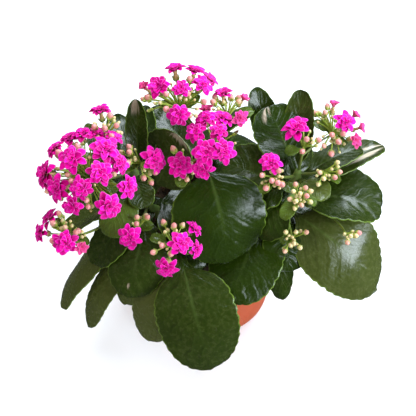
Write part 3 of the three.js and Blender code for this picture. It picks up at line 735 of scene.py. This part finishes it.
def leaf_mesh(leaves, random, scale=1.0, detail=(BLADE_ROWS, LEAF_COLUMNS)):
    """One mesh of several leaves, in metres, with a point that closes each end of a leaf. It
    carries how far each point is on the underside, its tone, and its marks and how pale they
    are: dry patches, and cream stripes that are partly painted reflection."""
    places, faces, corners = [], [], []
    data = {"underside": [], "tone": [], "damage_and_reflection": [], "mark_paleness": []}
    for axis, tip, width, arch, roll, fold, tone, *marks in leaves:
        rings, blade, over = leaf_rings(axis / scale, Vector(tip) / scale, width / scale,
                                        arch / scale, roll, fold, random, *detail)
        rows, count = rings.shape[:2]
        ends = [rings[0].mean(axis=0), rings[-1].mean(axis=0)]
        start, foot = len(places), len(places) + rows * count
        places += list(np.concatenate([rings.reshape(-1, 3), ends]) * MM * scale)
        along = np.repeat(blade, count)
        across = np.tile([*over, 1, *over[::-1], -1], rows)
        hurt_and_reflection = pale = np.zeros(rows * count)
        for kind, mark_along, mark_across, long, wide in marks:
            away = ((along - mark_along) / long) ** 2 + ((across - mark_across) / wide) ** 2
            here = np.exp(-0.7 * away)
            pale = np.where(here > hurt_and_reflection, MARK_PALENESS[kind], pale)
            hurt_and_reflection = np.maximum(hurt_and_reflection, here)
        under = [0] * len(over) + [0.5] + [1] * len(over) + [0.5]
        data["underside"] += [*under * rows, 0.5, 0.5]
        data["tone"] += [tone + random.uniform(-0.08, 0.08)] * (rows * count + 2)
        data["damage_and_reflection"] += [*hurt_and_reflection, 0, hurt_and_reflection[-1]]
        data["mark_paleness"] += [*pale, 0, pale[-1]]
        corners += [*zip(along, across), (0, 0), (1, 0)]
        faces += ring_faces(start, rows, count, inside_out=True)
        for k in range(count):
            after = (k + 1) % count
            faces.append((foot, start + k, start + after))
            faces.append((foot + 1, foot - count + after, foot - count + k))
    mesh = new_mesh("leaves", places, faces, **data)
    blade_uv = np.array(corners) * (1, 0.5) + (0, 0.5)
    index = np.zeros(len(mesh.loops), dtype=np.int32)
    mesh.loops.foreach_get("vertex_index", index)
    mesh.uv_layers.new(name="blade").data.foreach_set("uv", blade_uv[index].ravel())
    mesh.shade_smooth()
    return mesh


def leaf_skin():
    """Waxy upper skin and matt underside, with a pale midrib and veins, a pale margin that is
    partly
    its own colour and partly painted light through the thin edge, and marks where the mesh says:
    dry patches, and cream stripes that are partly painted reflection."""
    material, tree = new_material("leaf_skin")
    blade = node(tree, "ShaderNodeUVMap", uv_map="blade")
    along = node(tree, "ShaderNodeSeparateXYZ", {0: blade}, "X")
    size = abs(along.beside("Y") * 2.0 - 1.0)
    underside = ramp(attribute(tree, "underside"), 0.4, 0.6)
    tone = attribute(tree, "tone")
    damage_and_reflection = attribute(tree, "damage_and_reflection")
    broad = cloud(tree, 45, 3, 0.55)
    mottle = cloud(tree, 320, 4, 0.6)
    fine = cloud(tree, 1600, 2, 0.5)
    streak = noise_field(tree, blade, (3, 22, 1), 1.0, 4.0, 0.65)

    deep = tint(broad, (0.006, 0.015, 0.001), (0.020, 0.038, 0.001))
    olive = tint(broad, (0.050, 0.066, 0.008), (0.085, 0.095, 0.026))
    upper = tint(ramp((mottle - 0.5) * 0.8 + tone, 0.0, 1.1), deep, olive)
    upper = tint(ramp(tone, 1.2, 2.0), upper, (0.085, 0.15, 0.012))
    veined = cloud(tree, 70, 2) * 1.6 + (along * 7.0 - size * 2.6)
    between_veins = abs((veined * math.pi).maths("SINE"))
    vein = ramp(between_veins, 0.14, 0.0) * ramp(size, 0.95, 0.3)
    upper = tint(vein * 0.14, upper, (0.06, 0.10, 0.02))
    rib = ramp(size, 0.07, 0.0) * ramp(along, 0.9, 0.1)
    upper = tint(rib * 0.4, upper, (0.09, 0.14, 0.03))
    below = tint(mottle, (0.075, 0.115, 0.035), (0.12, 0.16, 0.06))
    below = tint((vein + rib) * 0.5, below, (0.2, 0.25, 0.11))
    colour = tint(underside, upper, below)
    # Partly painted light: the margin is the leaf's own yellow-green rim, made brighter to stand
    # for light shining through the thin edge.
    margin = ramp(mottle * 0.05 + size, 0.985, 1.03) * ramp(along, 0.02, 0.12)
    colour = tint(margin * 0.85, colour, (0.13, 0.20, 0.025))
    hurt_and_reflection = ramp((streak - 0.5) * 1.6 + damage_and_reflection, 0.35, 0.85) * ramp(damage_and_reflection, 0.08, 0.3)
    brown = tint(streak, (0.045, 0.022, 0.010), (0.16, 0.085, 0.045))
    # The cream colour is partly painted reflection, where the marks stand for the windows mirrored
    # on one leaf.
    cream = tint(streak, (0.30, 0.24, 0.16), (0.74, 0.64, 0.50))
    colour = tint(hurt_and_reflection, colour, tint(attribute(tree, "mark_paleness"), brown, cream))

    dull = underside.maths("MAXIMUM", hurt_and_reflection)
    rough = dull * 0.28 + ramp(mottle, 0.3, 0.7, 0.2, 0.3)
    side_veins = (veined * (6 * math.pi)).maths("SINE")
    bulge = side_veins * 0.12 + ramp(between_veins, 0.0, 0.9) * ramp(size, 1.0, 0.5)
    height = fine * 0.15 + bulge * 0.5 + streak * 0.7 + mottle * 0.5
    return finish(material, height, 0.0004, Base_Color=colour, Roughness=rough,
                  Specular_IOR_Level=0.18, Coat_Weight=0.45, Coat_Roughness=0.16, Coat_IOR=1.38)


stalks = stalk_tree()
green_stem = stem_skin()
waxy_leaf = leaf_skin()
leaf_random = np.random.default_rng(5)
for plant, branches in PLANTS.items():
    placed = [(axis_at(stem, leaf[0]), *leaf[1:]) for stem in branches for leaf in LEAVES[stem]]
    new_piece(f"leaves_{plant}", leaf_mesh(placed, leaf_random), waxy_leaf, "leaf",
              f"leafy_stem_{plant}")
    routes = [stem_route(stem, [leaf[0] for leaf in LEAVES[stem]]) for stem in branches]
    stem = grown(route_mesh(routes), stalks, Sides=14, Finish=green_stem)
    new_piece(f"stem_{plant}", stem, None, "leaf", f"leafy_stem_{plant}")

# ---------- Flower trusses ----------
# Each truss is grown as several pieces, of stalks, petals, cups, buds and bracts: a round
# stalk from the axil of a leaf that divides into thin stalks, each with a double flower or a
# bud. A flower is whorls of cupped petals on a short tube in a green cup of four sepals.

FLOWER_DIAMETER = 18.4
BUD_LENGTH = 7
BUNCH_LEAN = 18
GOLDEN_ANGLE = 137.5
LIGHT = (0, -0.5, 0.87)
LIGHT_LEAN = 0.35
MAIN_STEPS = 12
LINK_STEPS = 8
LINK_START = 8
STALK_STEPS = 6
FLOWER_STALK = 0.52
BUD_STALK = 0.5
SIDE_STALK = 0.42
DENSE_CLUSTER = 10

# Each truss: its stem, the height it springs from, the point its stalk bends towards, and
# its clusters: a hub, the reach of its stalks, its flowers by azimuth, elevation and share
# of the full size, and its bunches of buds by azimuth, elevation and count, some withered.
# A share or a count of 1 is left out.
TRUSSES = [
    ("flowers_left", "left", 168, (-68, -22, 174), [
        ((-76, -31, 186), 29, [(-155, 70, 1.05), (15, 70, 1.05), (-60, 60), (-140, 30),
         (-65, 20, 1.05), (-175, 20, 0.95), (-100, 45, 0.88), (-30, 25, 0.85), (-10, 50, 0.8),
         (150, 30, 0.8), (125, 35, 0.8), (105, 45, 0.8), (80, 45, 0.8), (50, 45, 0.75),
         (175, 15, 0.75), (180, 0, 0.75), (-110, 22, 0.7)], [(140, 72), (-140, 52), (-122, 50),
         (165, 38, 2), (-160, 5), (-90, 20), (-32, 48), (-92, 30)]),
        ((-68, -5, 198), 16, [(105, 42, 0.8)], [(-155, 65), (-80, 70), (-15, 60), (-60, 50),
         (50, 70)])]),
    ("flowers_left_low", "left", 142, (-76, -46, 144), [
        ((-90, -60, 166), 17, [(145, 25, 0.85), (-178, 15, 0.75), (-95, 45, 0.95), (-58, 28, 0.55)],
         [(125, 45), (170, 50), (-105, 75), (-52, 60), (-38, 48, 2), (-132, 38)])]),
    ("flowers_inner_left", "left", 172, (-48, -13, 177), [
        ((-46, -14, 182), 14, [(-30, 45, 0.95)], [(-175, 50, 3), (150, 55), (-80, 10),
         (-48, 5, 2)])]),
    ("flowers_front_left", "left", 134, (-48, -34, 138), [
        ((-50, -46, 150), 13, [(-105, 40, 0.92)], [(60, 65, 2), (-65, 75), (25, 50)])]),
    ("flowers_centre", "centre", 176, (-2, -4, 184), [
        ((2, -10, 190), 24, [(-112, 48), (-72, 50, 0.92), (-110, 22, 0.85), (130, 68, 0.8),
         (62, 66, 0.78), (-55, 80, 0.72), (-175, 60, 0.78), (105, 42, 0.55)],
         [(0, 55, 1, "withered"), (95, 55)]),
        ((10, 8, 200), 15, [(105, 50, 0.65), (40, 35, 0.52), (-50, 45, 0.6)], [(130, 40), (155, 50),
         (75, 42, 2), (25, 60)]),
        ((-20, 10, 204), 26, [(100, 40, 0.7), (65, 40, 0.66), (20, 55, 0.82), (42, 30, 0.64),
         (180, 62, 0.7), (-70, 85, 0.74), (160, 32, 0.52), (-92, 48, 0.8)], [(168, 14, 2),
         (125, 35), (45, 72), (-40, 75), (-145, 68), (-120, 52), (-70, 45), (-25, 50)]),
        ((-18, -16, 178), 16, [(-105, 60)], [(125, 35), (-65, 45, 3)])]),
    ("flowers_front", "front", 134, (-27, -54, 144), [
        ((-26, -58, 152), 16, [(-50, 55, 0.92), (30, 22, 0.72), (-18, 10, 0.72), (-100, -2, 0.88)],
         [(70, 60, 3), (-125, 40, 3)])]),
    ("flowers_right", "right", 165, (59, -6, 174), [
        ((60, -2, 182), 15, [(140, 64, 1.05)], [(90, 35), (-10, 50), (-80, 62, 2)]),
        ((80, 14, 176), 18, [(-20, 65, 0.88), (85, 35, 0.52), (35, 20, 0.52), (5, 15, 0.52),
         (-38, 24, 0.55)], [(120, 20), (100, 25, 3), (140, 68), (-60, 50), (-98, 40, 2),
         (-80, 26, 2)])]),
    ("flowers_inner_right", "right", 160, (48, -16, 168), [
        ((40, -22, 178), 14, [(170, 80, 0.88)], [(-100, 32, 4), (-62, 56, 2)])]),
    ("buds_right", "right", 162, (68, -10, 164), [
        ((74, -10, 168), 12, [], [(-115, 45), (-10, 42, 2), (-55, 25), (-95, 20, 2)])]),
    ("buds_middle", "right", 152, (57, -24, 154), [
        ((57, -30, 167), 9, [], [(-90, 55, 11)])]),
    ("buds_right_low", "right", 129, (80, -8, 129), [
        ((90, -40, 138), 9, [], [(-75, 35, 3), (-20, 30)])]),
    ("buds_front_right", "right", 132, (52, -28, 134), [
        ((54, -42, 136), 13, [], [(-100, 25, 3), (-70, 60, 4)])]),
]

# Bracts: small pale leaves at the forks of a truss, each the number of its cluster counted
# from 0, its tip and its width.
BRACTS = {
    "flowers_centre": [(2, (-8, 19, 211), 9), (2, (-33, 14, 209), 7), (1, (27, 11, 204), 8),
        (0, (15, -14, 194), 9), (0, (-6, -23, 191), 8), (3, (-20, -32, 180), 9)],
    "buds_middle": [(0, (46, -44, 161), 10), (0, (46, -21, 168), 8), (0, (68, -36, 166), 7)],
    "flowers_left": [(0, (-94, -26, 189), 9), (0, (-84, -50, 187), 10), (0, (-60, -42, 189), 10),
        (0, (-66, -14, 190), 9), (0, (-80, -12, 191), 9), (0, (-97, -38, 184), 10),
        (0, (-92, -14, 192), 11), (0, (-90, -22, 197), 10), (0, (-70, -22, 200), 10),
        (0, (-84, -36, 202), 9), (1, (-82, 2, 200), 7)],
    "flowers_left_low": [(0, (-102, -50, 169), 8), (0, (-78, -68, 168), 8)],
    "flowers_inner_left": [(0, (-57, -22, 184), 8)],
    "flowers_front_left": [(0, (-38, -44, 154), 8)],
    "flowers_front": [(0, (-40, -54, 155), 8), (0, (-13, -66, 155), 8)],
    "flowers_right": [(0, (48, -8, 184), 8), (1, (68, 20, 182), 8), (1, (88, 2, 178), 7)],
    "buds_right": [(0, (84, -20, 168), 7)],
    "flowers_inner_right": [(0, (32, -34, 176), 8)],
    "buds_front_right": [(0, (46, -47, 137), 6)],
}
BRACT_ARCH = 1.5
BRACT_FOLD = 12
BRACT_TONE = 1.7
BRACT_SCALE = 0.4
BRACT_DETAIL = (16, 9)

# The petals of a double flower, whorl by whorl: how many, how long and how wide as a share
# of the flower's radius, how steeply they stand in degrees, and how far up they start.
WHORLS = [(6, 1.07, 0.94, 2, 0.0), (6, 0.93, 0.86, 17, 0.05), (5, 0.76, 0.76, 34, 0.09),
          (5, 0.57, 0.60, 52, 0.11), (3, 0.40, 0.44, 68, 0.12)]
WHORL_TURN = 0.62
CLOSED_TILT = 80
PETAL_PLACES = (0.0, 0.2, 0.4, 0.58, 0.74, 0.87, 0.96, 1.0)
PETAL_COLUMNS = 4
PETAL_HALF_WIDTH = 0.29
PETAL_THICKNESS = 0.028
PETAL_CUPPING = 1.1
PETAL_TWIST = 0.035
PETAL_GROOVE = 0.02
TILT_SPREAD = 11
HALF_OPEN_SHARE = 0.7
HALF_OPEN_GROWTH = 1.25

# The round bodies under the sepals, ring by ring: a height, a radius and how green it is.
# A bud is four petals twisted shut to a point. A flower's tube ends in its heart; the
# petals start at height 0.
BODY_SIDES = 10
BUD_RINGS = [(0.0, 0.10, 1.0), (0.06, 0.22, 0.95), (0.2, 0.30, 0.8), (0.42, 0.34, 0.4),
             (0.62, 0.34, 0.08), (0.8, 0.25, 0.0), (0.93, 0.12, 0.0), (1.0, 0.02, 0.1)]
TUBE_RINGS = [(-0.86, 0.10, 1.0), (-0.78, 0.22, 0.9), (-0.62, 0.25, 0.5), (-0.38, 0.20, 0.2),
              (-0.14, 0.16, 0.05), (0.02, 0.22, 0.0), (0.08, 0.13, 0.4), (0.24, 0.05, 0.6),
              (0.28, 0.02, 0.6)]
# A sepal, row by row: how far up, how wide and how far out it is.
SEPAL_ROWS = ((0.0, 0.5, 0.0), (0.35, 0.62, 0.55), (0.7, 0.42, 0.9), (1.0, 0.04, 1.0))


def facing(azimuth, elevation):
    a, e = math.radians(azimuth), math.radians(elevation)
    return Vector((math.cos(e) * math.cos(a), math.cos(e) * math.sin(a), math.sin(e)))


def bunch_directions(azimuth, elevation, count=1):
    """A bunch of buds: round its own direction at the golden angle, wider with each bud."""
    heart = facing(azimuth, elevation)
    sideways = heart.cross(Vector((0, 0, 1))).normalized()
    leans = [BUNCH_LEAN * math.sqrt(k + 0.4) if count > 1 else 0 for k in range(count)]
    return [turn_about(turn_about(heart, sideways, lean), heart, GOLDEN_ANGLE * k)
            for k, lean in enumerate(leans)]


def make_random(seed):
    """The frame's repeatable random numbers between -1 and 1."""
    while True:
        seed = (seed * 1664525 + 1013904223) % 4294967296
        yield seed / 4294967296 * 2 - 1


def petal_pattern():
    """One petal of unit length along +X: a thin lens that is widest beyond its middle,
    cupped, with its blunt tip bent down. Its rows are closed rings, over and back under."""
    points, back, rim = [], [], []
    for x in PETAL_PLACES:
        width = PETAL_HALF_WIDTH * math.sin(math.pi * min(x ** 1.85, 1)) ** 0.62 + 0.06 * (1 - x)
        depth = PETAL_THICKNESS * (0.4 + math.sin(math.pi * min(x, 0.94)))
        over = []
        for j in range(PETAL_COLUMNS + 1):
            s = 2 * j / PETAL_COLUMNS - 1
            y = s * max(width, 0.004)
            rise = 0.12 * math.sin(math.pi * x) - 0.08 * x ** 3 + PETAL_CUPPING * y * y
            rise += PETAL_TWIST * s * math.sin(9 * x)
            rise -= PETAL_GROOVE * math.exp(-(s / 0.35) ** 2) * math.sin(math.pi * x)
            over.append((x, y, rise))
            rim.append(max(abs(s), x ** 4))
        under = [(x, y, z - depth) for x, y, z in over[-2:0:-1]]
        points += over + under
        back += [0.0] * len(over) + [1.0] * len(under)
        rim += [0.0] * len(under)
    count = 2 * PETAL_COLUMNS
    faces = ring_faces(0, len(PETAL_PLACES), count, inside_out=True)
    faces.append(tuple(range(count)))
    faces.append(tuple(reversed(range(len(points) - count, len(points)))))
    along = [point[0] for point in points]
    return new_object("petal", new_mesh("petal", points, faces, back=back, rim=rim, along=along))


def sepalled_pattern(name, rings, foot, length, radius, spread):
    """A closed round body about +Z, with four narrow sepals that rise from a height."""
    points = [(x, y, height) for height, size, _ in rings for x, y in circle(size, BODY_SIDES)]
    green = [value for *_, value in rings for _ in range(BODY_SIDES)]
    faces = ring_faces(0, len(rings), BODY_SIDES)
    faces.append(tuple(reversed(range(BODY_SIDES))))
    faces.append(tuple(range(len(points) - BODY_SIDES, len(points))))
    for k in range(4):
        turn = Quaternion((0, 0, 1), math.pi / 2 * k + math.pi / 4)
        start = len(points)
        for up, wide, out in SEPAL_ROWS:
            away = radius * (0.75 + 0.45 * out) + spread * up * up
            for offset, side in ((0.0, -1), (0.14 * radius, 0), (0.0, 1), (-0.16 * radius, 0)):
                place = Vector((away + offset, side * wide * radius, foot + length * up))
                points.append(tuple(turn @ place))
                green.append(1.0)
        faces += ring_faces(start, len(SEPAL_ROWS), 4, inside_out=True)
        faces.append((start, start + 1, start + 2, start + 3))
        faces.append((start + 15, start + 14, start + 13, start + 12))
    return new_object(name, new_mesh(name, points, faces, green=green))


def turned_by(tree, rotation, axis, angle):
    """A rotation turned further about one of its own axes."""
    more = node(tree, "FunctionNodeAxisAngleToRotation", {"Axis": axis, "Angle": angle})
    return node(tree, "FunctionNodeRotateRotation", {"Rotation": rotation, 1: more},
                rotation_space="LOCAL")


def facing_tree(name):
    """A tree that sets a thing on points, along the way that each faces: the tree, its inputs,
    the thing, each point's way and the rotation that stands the thing along it."""
    tree, inputs = new_tree(name, Points="Geometry", Thing="Object", Finish="Material")
    thing = node(tree, "GeometryNodeObjectInfo", {"Object": inputs["Thing"]}, "Geometry",
                 transform_space="ORIGINAL")
    way = named(tree, "facing", "FLOAT_VECTOR")
    upright = node(tree, "FunctionNodeAlignRotationToVector", {"Vector": way}, axis="Z")
    return tree, inputs, thing, way, upright


def petal_tree():
    """Grows whorls of petals at points that have a facing, a radius and an opening."""
    tree, inputs, petal, way, upright = facing_tree("petal_whorls")
    radius, opening, spin = (named(tree, label) for label in ("radius", "opening", "spin"))
    join = tree.nodes.new("GeometryNodeJoinGeometry")
    for whorl, (count, length, width, tilt, lift) in enumerate(WHORLS):
        seed = 10 * whorl
        copies = node(tree, "GeometryNodeDuplicateElements",
                      {"Geometry": inputs["Points"], "Amount": count}, domain="POINT")
        step = copies.beside("Duplicate Index") * (2 * math.pi / count)
        angle = step + spin + random_value(tree, -0.22, 0.22, seed) + WHORL_TURN * whorl
        stand = random_value(tree, math.radians(tilt - TILT_SPREAD),
                             math.radians(tilt + TILT_SPREAD), seed + 1)
        stand = stand + (opening * -1.0 + 1.0) * math.radians(CLOSED_TILT - tilt)
        rotation = turned_by(tree, upright, (0, 0, 1), angle)
        rotation = turned_by(tree, rotation, (0, 1, 0), stand * -1.0)
        rotation = turned_by(tree, rotation, (1, 0, 0), random_value(tree, -0.3, 0.3, seed + 2))
        long = radius * random_value(tree, 0.86 * length, 1.03 * length, seed + 3)
        wide = radius * random_value(tree, 0.85 * width, 1.12 * width, seed + 4)
        moved = node(tree, "GeometryNodeSetPosition",
                     {"Geometry": copies, "Offset": scaled(tree, way, radius * lift)})
        shaded = node(tree, "GeometryNodeStoreNamedAttribute",
                      {"Geometry": instances(tree, moved, petal, rotation, (long, wide, long)),
                       "Name": "shade", "Value": random_value(tree, 0.0, 1.0, seed + 5)},
                      data_type="FLOAT", domain="INSTANCE")
        put(tree, join.inputs[0], shaded)
    return close_tree(tree, Field(tree, join.outputs[0]), inputs["Finish"])


def setting_tree():
    """Sets a copy of an object at each point, along its facing and at its own size."""
    tree, inputs, thing, _, upright = facing_tree("set_along_facing")
    rotation = turned_by(tree, upright, (0, 0, 1), named(tree, "spin"))
    size = [named(tree, label) for label in ("girth", "girth", "radius")]
    placed = instances(tree, inputs["Points"], thing, rotation, size)
    return close_tree(tree, placed, inputs["Finish"])


def petal_skin():
    """Hot magenta above, dusty pink at the back, with a painted highlight of pink-violet along the
    rims and painted shade of deep crimson towards the claw.
    """
    material, tree = new_material("petal_skin")
    shade = attribute(tree, "shade")
    streak = cloud(tree, 900, 3, 0.6)
    front = tint(shade, (0.46, 0.0, 0.14), (0.98, 0.0, 0.44))
    front = tint(ramp(streak, 0.45, 0.75, 0.0, 0.35), front, (1.0, 0.0, 0.55))
    # Painted highlight: the rims are lightened to pink-violet, standing for the sheen of the
    # windows on the petals.
    front = tint(ramp(attribute(tree, "rim"), 0.7, 1.0) * 0.7, front, (1.0, 0.12, 0.66))
    # Painted shade: the colour darkens to deep crimson towards the claw, standing for the shade
    # between the crowded petals.
    front = tint(ramp(attribute(tree, "along"), 0.66, 0.22), front, (0.19, 0.0, 0.025))
    back = tint(shade, (0.50, 0.03, 0.14), (0.68, 0.10, 0.26))
    colour = tint(ramp(attribute(tree, "back"), 0.2, 0.8), front, back)
    unopened = ramp(attribute(tree, "opening"), 0.7, 0.4)
    colour = tint(unopened * 0.6, colour, (0.70, 0.10, 0.20))
    return finish(material, streak, 0.00015, Base_Color=colour, Roughness=0.55,
                  Specular_IOR_Level=0.15)


def bud_skin():
    """Closed petals: cream-green when small, salmon pink when ripe, over green sepals."""
    material, tree = new_material("bud_skin")
    ripe = attribute(tree, "ripeness")
    patches = cloud(tree, 500, 3, 0.6)
    young = tint(patches, (0.58, 0.50, 0.16), (0.84, 0.64, 0.42))
    salmon = tint(patches, (0.62, 0.18, 0.18), (0.80, 0.36, 0.34))
    body = tint(ramp(ripe, 0.25, 0.5), young, salmon)
    body = tint(ramp(ripe, 1.5, 2.0), body, (0.10, 0.05, 0.03))
    green = tint(patches, (0.22, 0.34, 0.03), (0.40, 0.50, 0.08))
    return finish(material, patches, 0.0001, Base_Color=tint(attribute(tree, "green"), body, green),
                  Roughness=0.42, Subsurface_Weight=0.12, Subsurface_Scale=0.002)


def two_tone_skin(name, share, grain, first, second, glow_depth):
    """Soft plant skin that goes from one colour to another with what the mesh carries, each
    blotched in two shades."""
    material, tree = new_material(name)
    patches = cloud(tree, grain, 3, 0.6)
    colour = tint(attribute(tree, share), tint(patches, *first), tint(patches, *second))
    return finish(material, patches, 0.0001, Base_Color=colour, Roughness=0.45,
                  Subsurface_Weight=0.1, Subsurface_Scale=glow_depth)


def bezier(start, bend, end, steps):
    return [start * (1 - t) ** 2 + bend * 2 * t * (1 - t) + end * t * t
            for t in (k / steps for k in range(steps + 1))]


def graded(first, change, steps):
    """Values from the first on that change evenly over a number of steps."""
    return [first + change * k / steps for k in range(steps + 1)]


def stalk_route(hub, heart, end, thin):
    """A thin stalk that leaves its hub near the cluster's heart and turns to its flower."""
    way = end - hub
    lean = (heart * 0.45 + way.normalized() * 0.55).normalized()
    points = bezier(hub + lean * 0.6, hub + lean * 0.55 * way.length, end, STALK_STEPS)
    radii = [thin * share for share in graded(1.25, -0.35, STALK_STEPS)]
    return points, radii, graded(0.4, 0.6, STALK_STEPS)


def truss_parts(stem, height, via, clusters, numbers, random):
    """Where a truss has its stalks, flowers and buds."""
    first_hub = Vector(clusters[0][0])
    main = bezier(axis_at(stem, height), Vector(via), first_hub, MAIN_STEPS)
    routes = [(main, graded(1.2, -0.5, MAIN_STEPS), graded(0, 0.3, MAIN_STEPS))]
    flowers, buds = [], []
    for place, reach, faces, bunches in clusters:
        hub = Vector(place)
        if hub != first_hub:
            fork = main[LINK_START]
            link = bezier(fork, (fork + hub) / 2 + Vector((0, 0, 3)), hub, LINK_STEPS)
            routes.append((link, graded(0.72, -0.1, LINK_STEPS), [0.2] * (LINK_STEPS + 1)))
        flower_ways = [facing(*f[:2]) for f in faces]
        bud_ways = [(d, bunch[3:]) for bunch in bunches for d in bunch_directions(*bunch[:3])]
        heart = sum(flower_ways + [d for d, _ in bud_ways], Vector()).normalized()
        # The fewest tiny side buds beside a bud: more where a cluster is dense.
        crowd = 3 if len(faces) > DENSE_CLUSTER else len(bunches) // 5
        for direction, (_, _, *share) in zip(flower_ways, faces):
            share = share[0] if share else 1.0
            radius = FLOWER_DIAMETER / 2 * share * (1 + 0.05 * next(numbers))
            distance = reach * (1 + 0.05 * next(numbers))
            face = direction.lerp(Vector(LIGHT), LIGHT_LEAN).normalized()
            middle = hub + direction * distance
            opening = random.uniform(0.86, 1.0)
            if share <= HALF_OPEN_SHARE:
                opening = 0.3 + 2.2 * (share - 0.5)
                radius *= HALF_OPEN_GROWTH
            flowers.append((middle, face, radius, opening))
            routes.append(stalk_route(hub, heart, middle - face * 0.8 * radius, FLOWER_STALK))
        for direction, withered in bud_ways:
            distance = reach * (0.95 + 0.08 * next(numbers))
            ripe = random.uniform(0.35, 1.0) if faces else random.uniform(0.1, 0.52)
            ripe = 2.0 if withered else ripe
            length = BUD_LENGTH * (0.52 + 0.34 * min(ripe, 1))
            foot = distance + BUD_LENGTH / 2 - length
            buds.append((hub + direction * foot, direction, length, ripe))
            routes.append(stalk_route(hub, heart, hub + direction * (foot + 0.3), BUD_STALK))
            sideways = direction.cross(heart + direction.orthogonal()).normalized()
            for _ in range(int(random.integers(crowd, crowd + 4))):
                aside = turn_about(direction, sideways, random.uniform(14, 26 + 5 * crowd))
                aside = turn_about(aside, direction, random.uniform(0, 360))
                small = BUD_LENGTH * random.uniform(0.3, 0.5)
                foot = distance * random.uniform(0.84, 0.98) - small
                buds.append((hub + aside * foot, aside, small, random.uniform(0.0, 0.25)))
                routes.append(stalk_route(hub, heart, hub + aside * (foot + 0.2), SIDE_STALK))
    return routes, flowers, buds


def bud_girth(length, ripe):
    """How wide a bud is, in metres: slimmer when ripe, and shrunken when withered."""
    return length * MM * (0.5 if ripe > 1 else 1.12 - 0.1 * ripe)


petals = petal_pattern()
bud = sepalled_pattern("bud", BUD_RINGS, 0.0, 0.48, 0.29, 0.07)
cup = sepalled_pattern("cup", TUBE_RINGS, -0.84, 0.42, 0.24, 0.10)
whorls, setting = petal_tree(), setting_tree()
magenta, salmon_bud = petal_skin(), bud_skin()
green_cup = two_tone_skin("cup_skin", "green", 500, ((0.58, 0.22, 0.15), (0.46, 0.42, 0.14)),
                          ((0.15, 0.24, 0.04), (0.30, 0.38, 0.09)), 0.002)
green_stalk = two_tone_skin("stalk_skin", "ripeness", 300,
                            ((0.035, 0.06, 0.008), (0.10, 0.12, 0.022)),
                            ((0.24, 0.36, 0.03), (0.42, 0.50, 0.07)), 0.0015)
frame_numbers = make_random(7)
truss_random = np.random.default_rng(12)
for name, stem, height, via, clusters in TRUSSES:
    routes, flowers, buds = truss_parts(stem, height, via, clusters, frame_numbers, truss_random)
    stalk = grown(route_mesh(routes), stalks, Sides=7, Finish=green_stalk)
    new_piece(f"{name}_stalks", stalk, None, "leaf", name)
    if flowers:
        places, ways, radii, openings = zip(*flowers)
        sizes = [r * MM for r in radii]
        spins = truss_random.uniform(0, 2 * math.pi, len(flowers))
        at = new_mesh("flowers", [tuple(p * MM) for p in places], facing=ways, radius=sizes,
                      spin=spins, girth=sizes, opening=openings)
        bloom = grown(at.copy(), whorls, Thing=petals, Finish=magenta)
        new_piece(f"{name}_petals", bloom, None, "petal", name)
        cups = grown(at, setting, Thing=cup, Finish=green_cup)
        new_piece(f"{name}_cups", cups, None, "bud", name)
    places, ways, lengths, ripe = zip(*buds)
    spins = truss_random.uniform(0, 2 * math.pi, len(buds))
    at = new_mesh("buds", [tuple(p * MM) for p in places], facing=ways,
                  radius=[n * MM for n in lengths], girth=list(map(bud_girth, lengths, ripe)),
                  spin=spins, ripeness=ripe)
    closed = grown(at, setting, Thing=bud, Finish=salmon_bud)
    new_piece(f"{name}_buds", closed, None, "bud", name)
    bracts = [(Vector(clusters[k][0]), tip, width, BRACT_ARCH, 0, BRACT_FOLD, BRACT_TONE)
              for k, tip, width in BRACTS.get(name, [])]
    if bracts:
        small_leaves = leaf_mesh(bracts, truss_random, BRACT_SCALE, BRACT_DETAIL)
        new_piece(f"{name}_bracts", small_leaves, waxy_leaf, "leaf", name)
for pattern in (petals, bud, cup):
    bpy.data.objects.remove(pattern)

# ---------- Studio ----------
# A plain pale floor, a broad soft key light over the front, three cool windows behind, to
# the right and behind to the right, and the camera above the front. The waxy leaves mirror
# the windows, but neither the key light nor the floor.

VIEW_ELEVATION = 56
VIEW_DISTANCE = 0.75
VIEW_TARGET = Vector((-0.0024, 0.0, 0.109))
SENSOR_WIDTH = 36
PHOTO_WIDTH = 416
FOCAL_PIXELS = 1050

floor_mesh = new_mesh("floor", [(-3, -3, 0), (3, -3, 0), (3, 3, 0), (-3, 3, 0)], [(0, 1, 2, 3)])
pale, _ = new_material("pale_floor")
floor_mesh.materials.append(finish(pale, Base_Color=(0.9, 0.9, 0.9, 1), Roughness=0.9))
floor = new_object("floor", floor_mesh)
floor.visible_glossy = False

# Each light is a square that shines at the plant: its place, width, watts and colour.
for name, place, size, watts, colour in (
        ("key", (-0.7, -0.7, 1.6), 1.8, 22, (1.0, 0.98, 0.93)),
        ("window_back", (0.05, 1.0, 1.6), 0.55, 20, (0.82, 0.91, 1.0)),
        ("window_right", (1.35, -0.55, 0.95), 0.8, 44, (0.80, 0.90, 1.0)),
        ("window_side", (0.75, 1.1, 1.35), 0.7, 30, (0.80, 0.90, 1.0))):
    light = bpy.data.lights.new(name, "AREA")
    light.size, light.energy, light.color = size, watts, colour
    lamp = new_object(name, light)
    lamp.location = place
    lamp.rotation_euler = (VIEW_TARGET - Vector(place)).to_track_quat("-Z", "Y").to_euler()
    lamp.visible_glossy = name != "key"

world = bpy.data.worlds.new("studio")
world.use_nodes = True
world.node_tree.nodes["Background"].inputs["Color"].default_value = (0.95, 0.97, 1.0, 1)
world.node_tree.nodes["Background"].inputs["Strength"].default_value = 0.1
bpy.context.scene.world = world
bpy.context.scene.view_settings.view_transform = "Standard"

camera_data = bpy.data.cameras.new("camera")
camera_data.sensor_width = SENSOR_WIDTH
camera_data.lens = FOCAL_PIXELS / PHOTO_WIDTH * SENSOR_WIDTH
camera = new_object("camera", camera_data)
lift = math.radians(VIEW_ELEVATION)
back = Vector((0, -math.cos(lift), math.sin(lift)))
camera.location = VIEW_TARGET + VIEW_DISTANCE * back
camera.rotation_euler = (-back).to_track_quat("-Z", "Y").to_euler()
bpy.context.scene.camera = camera
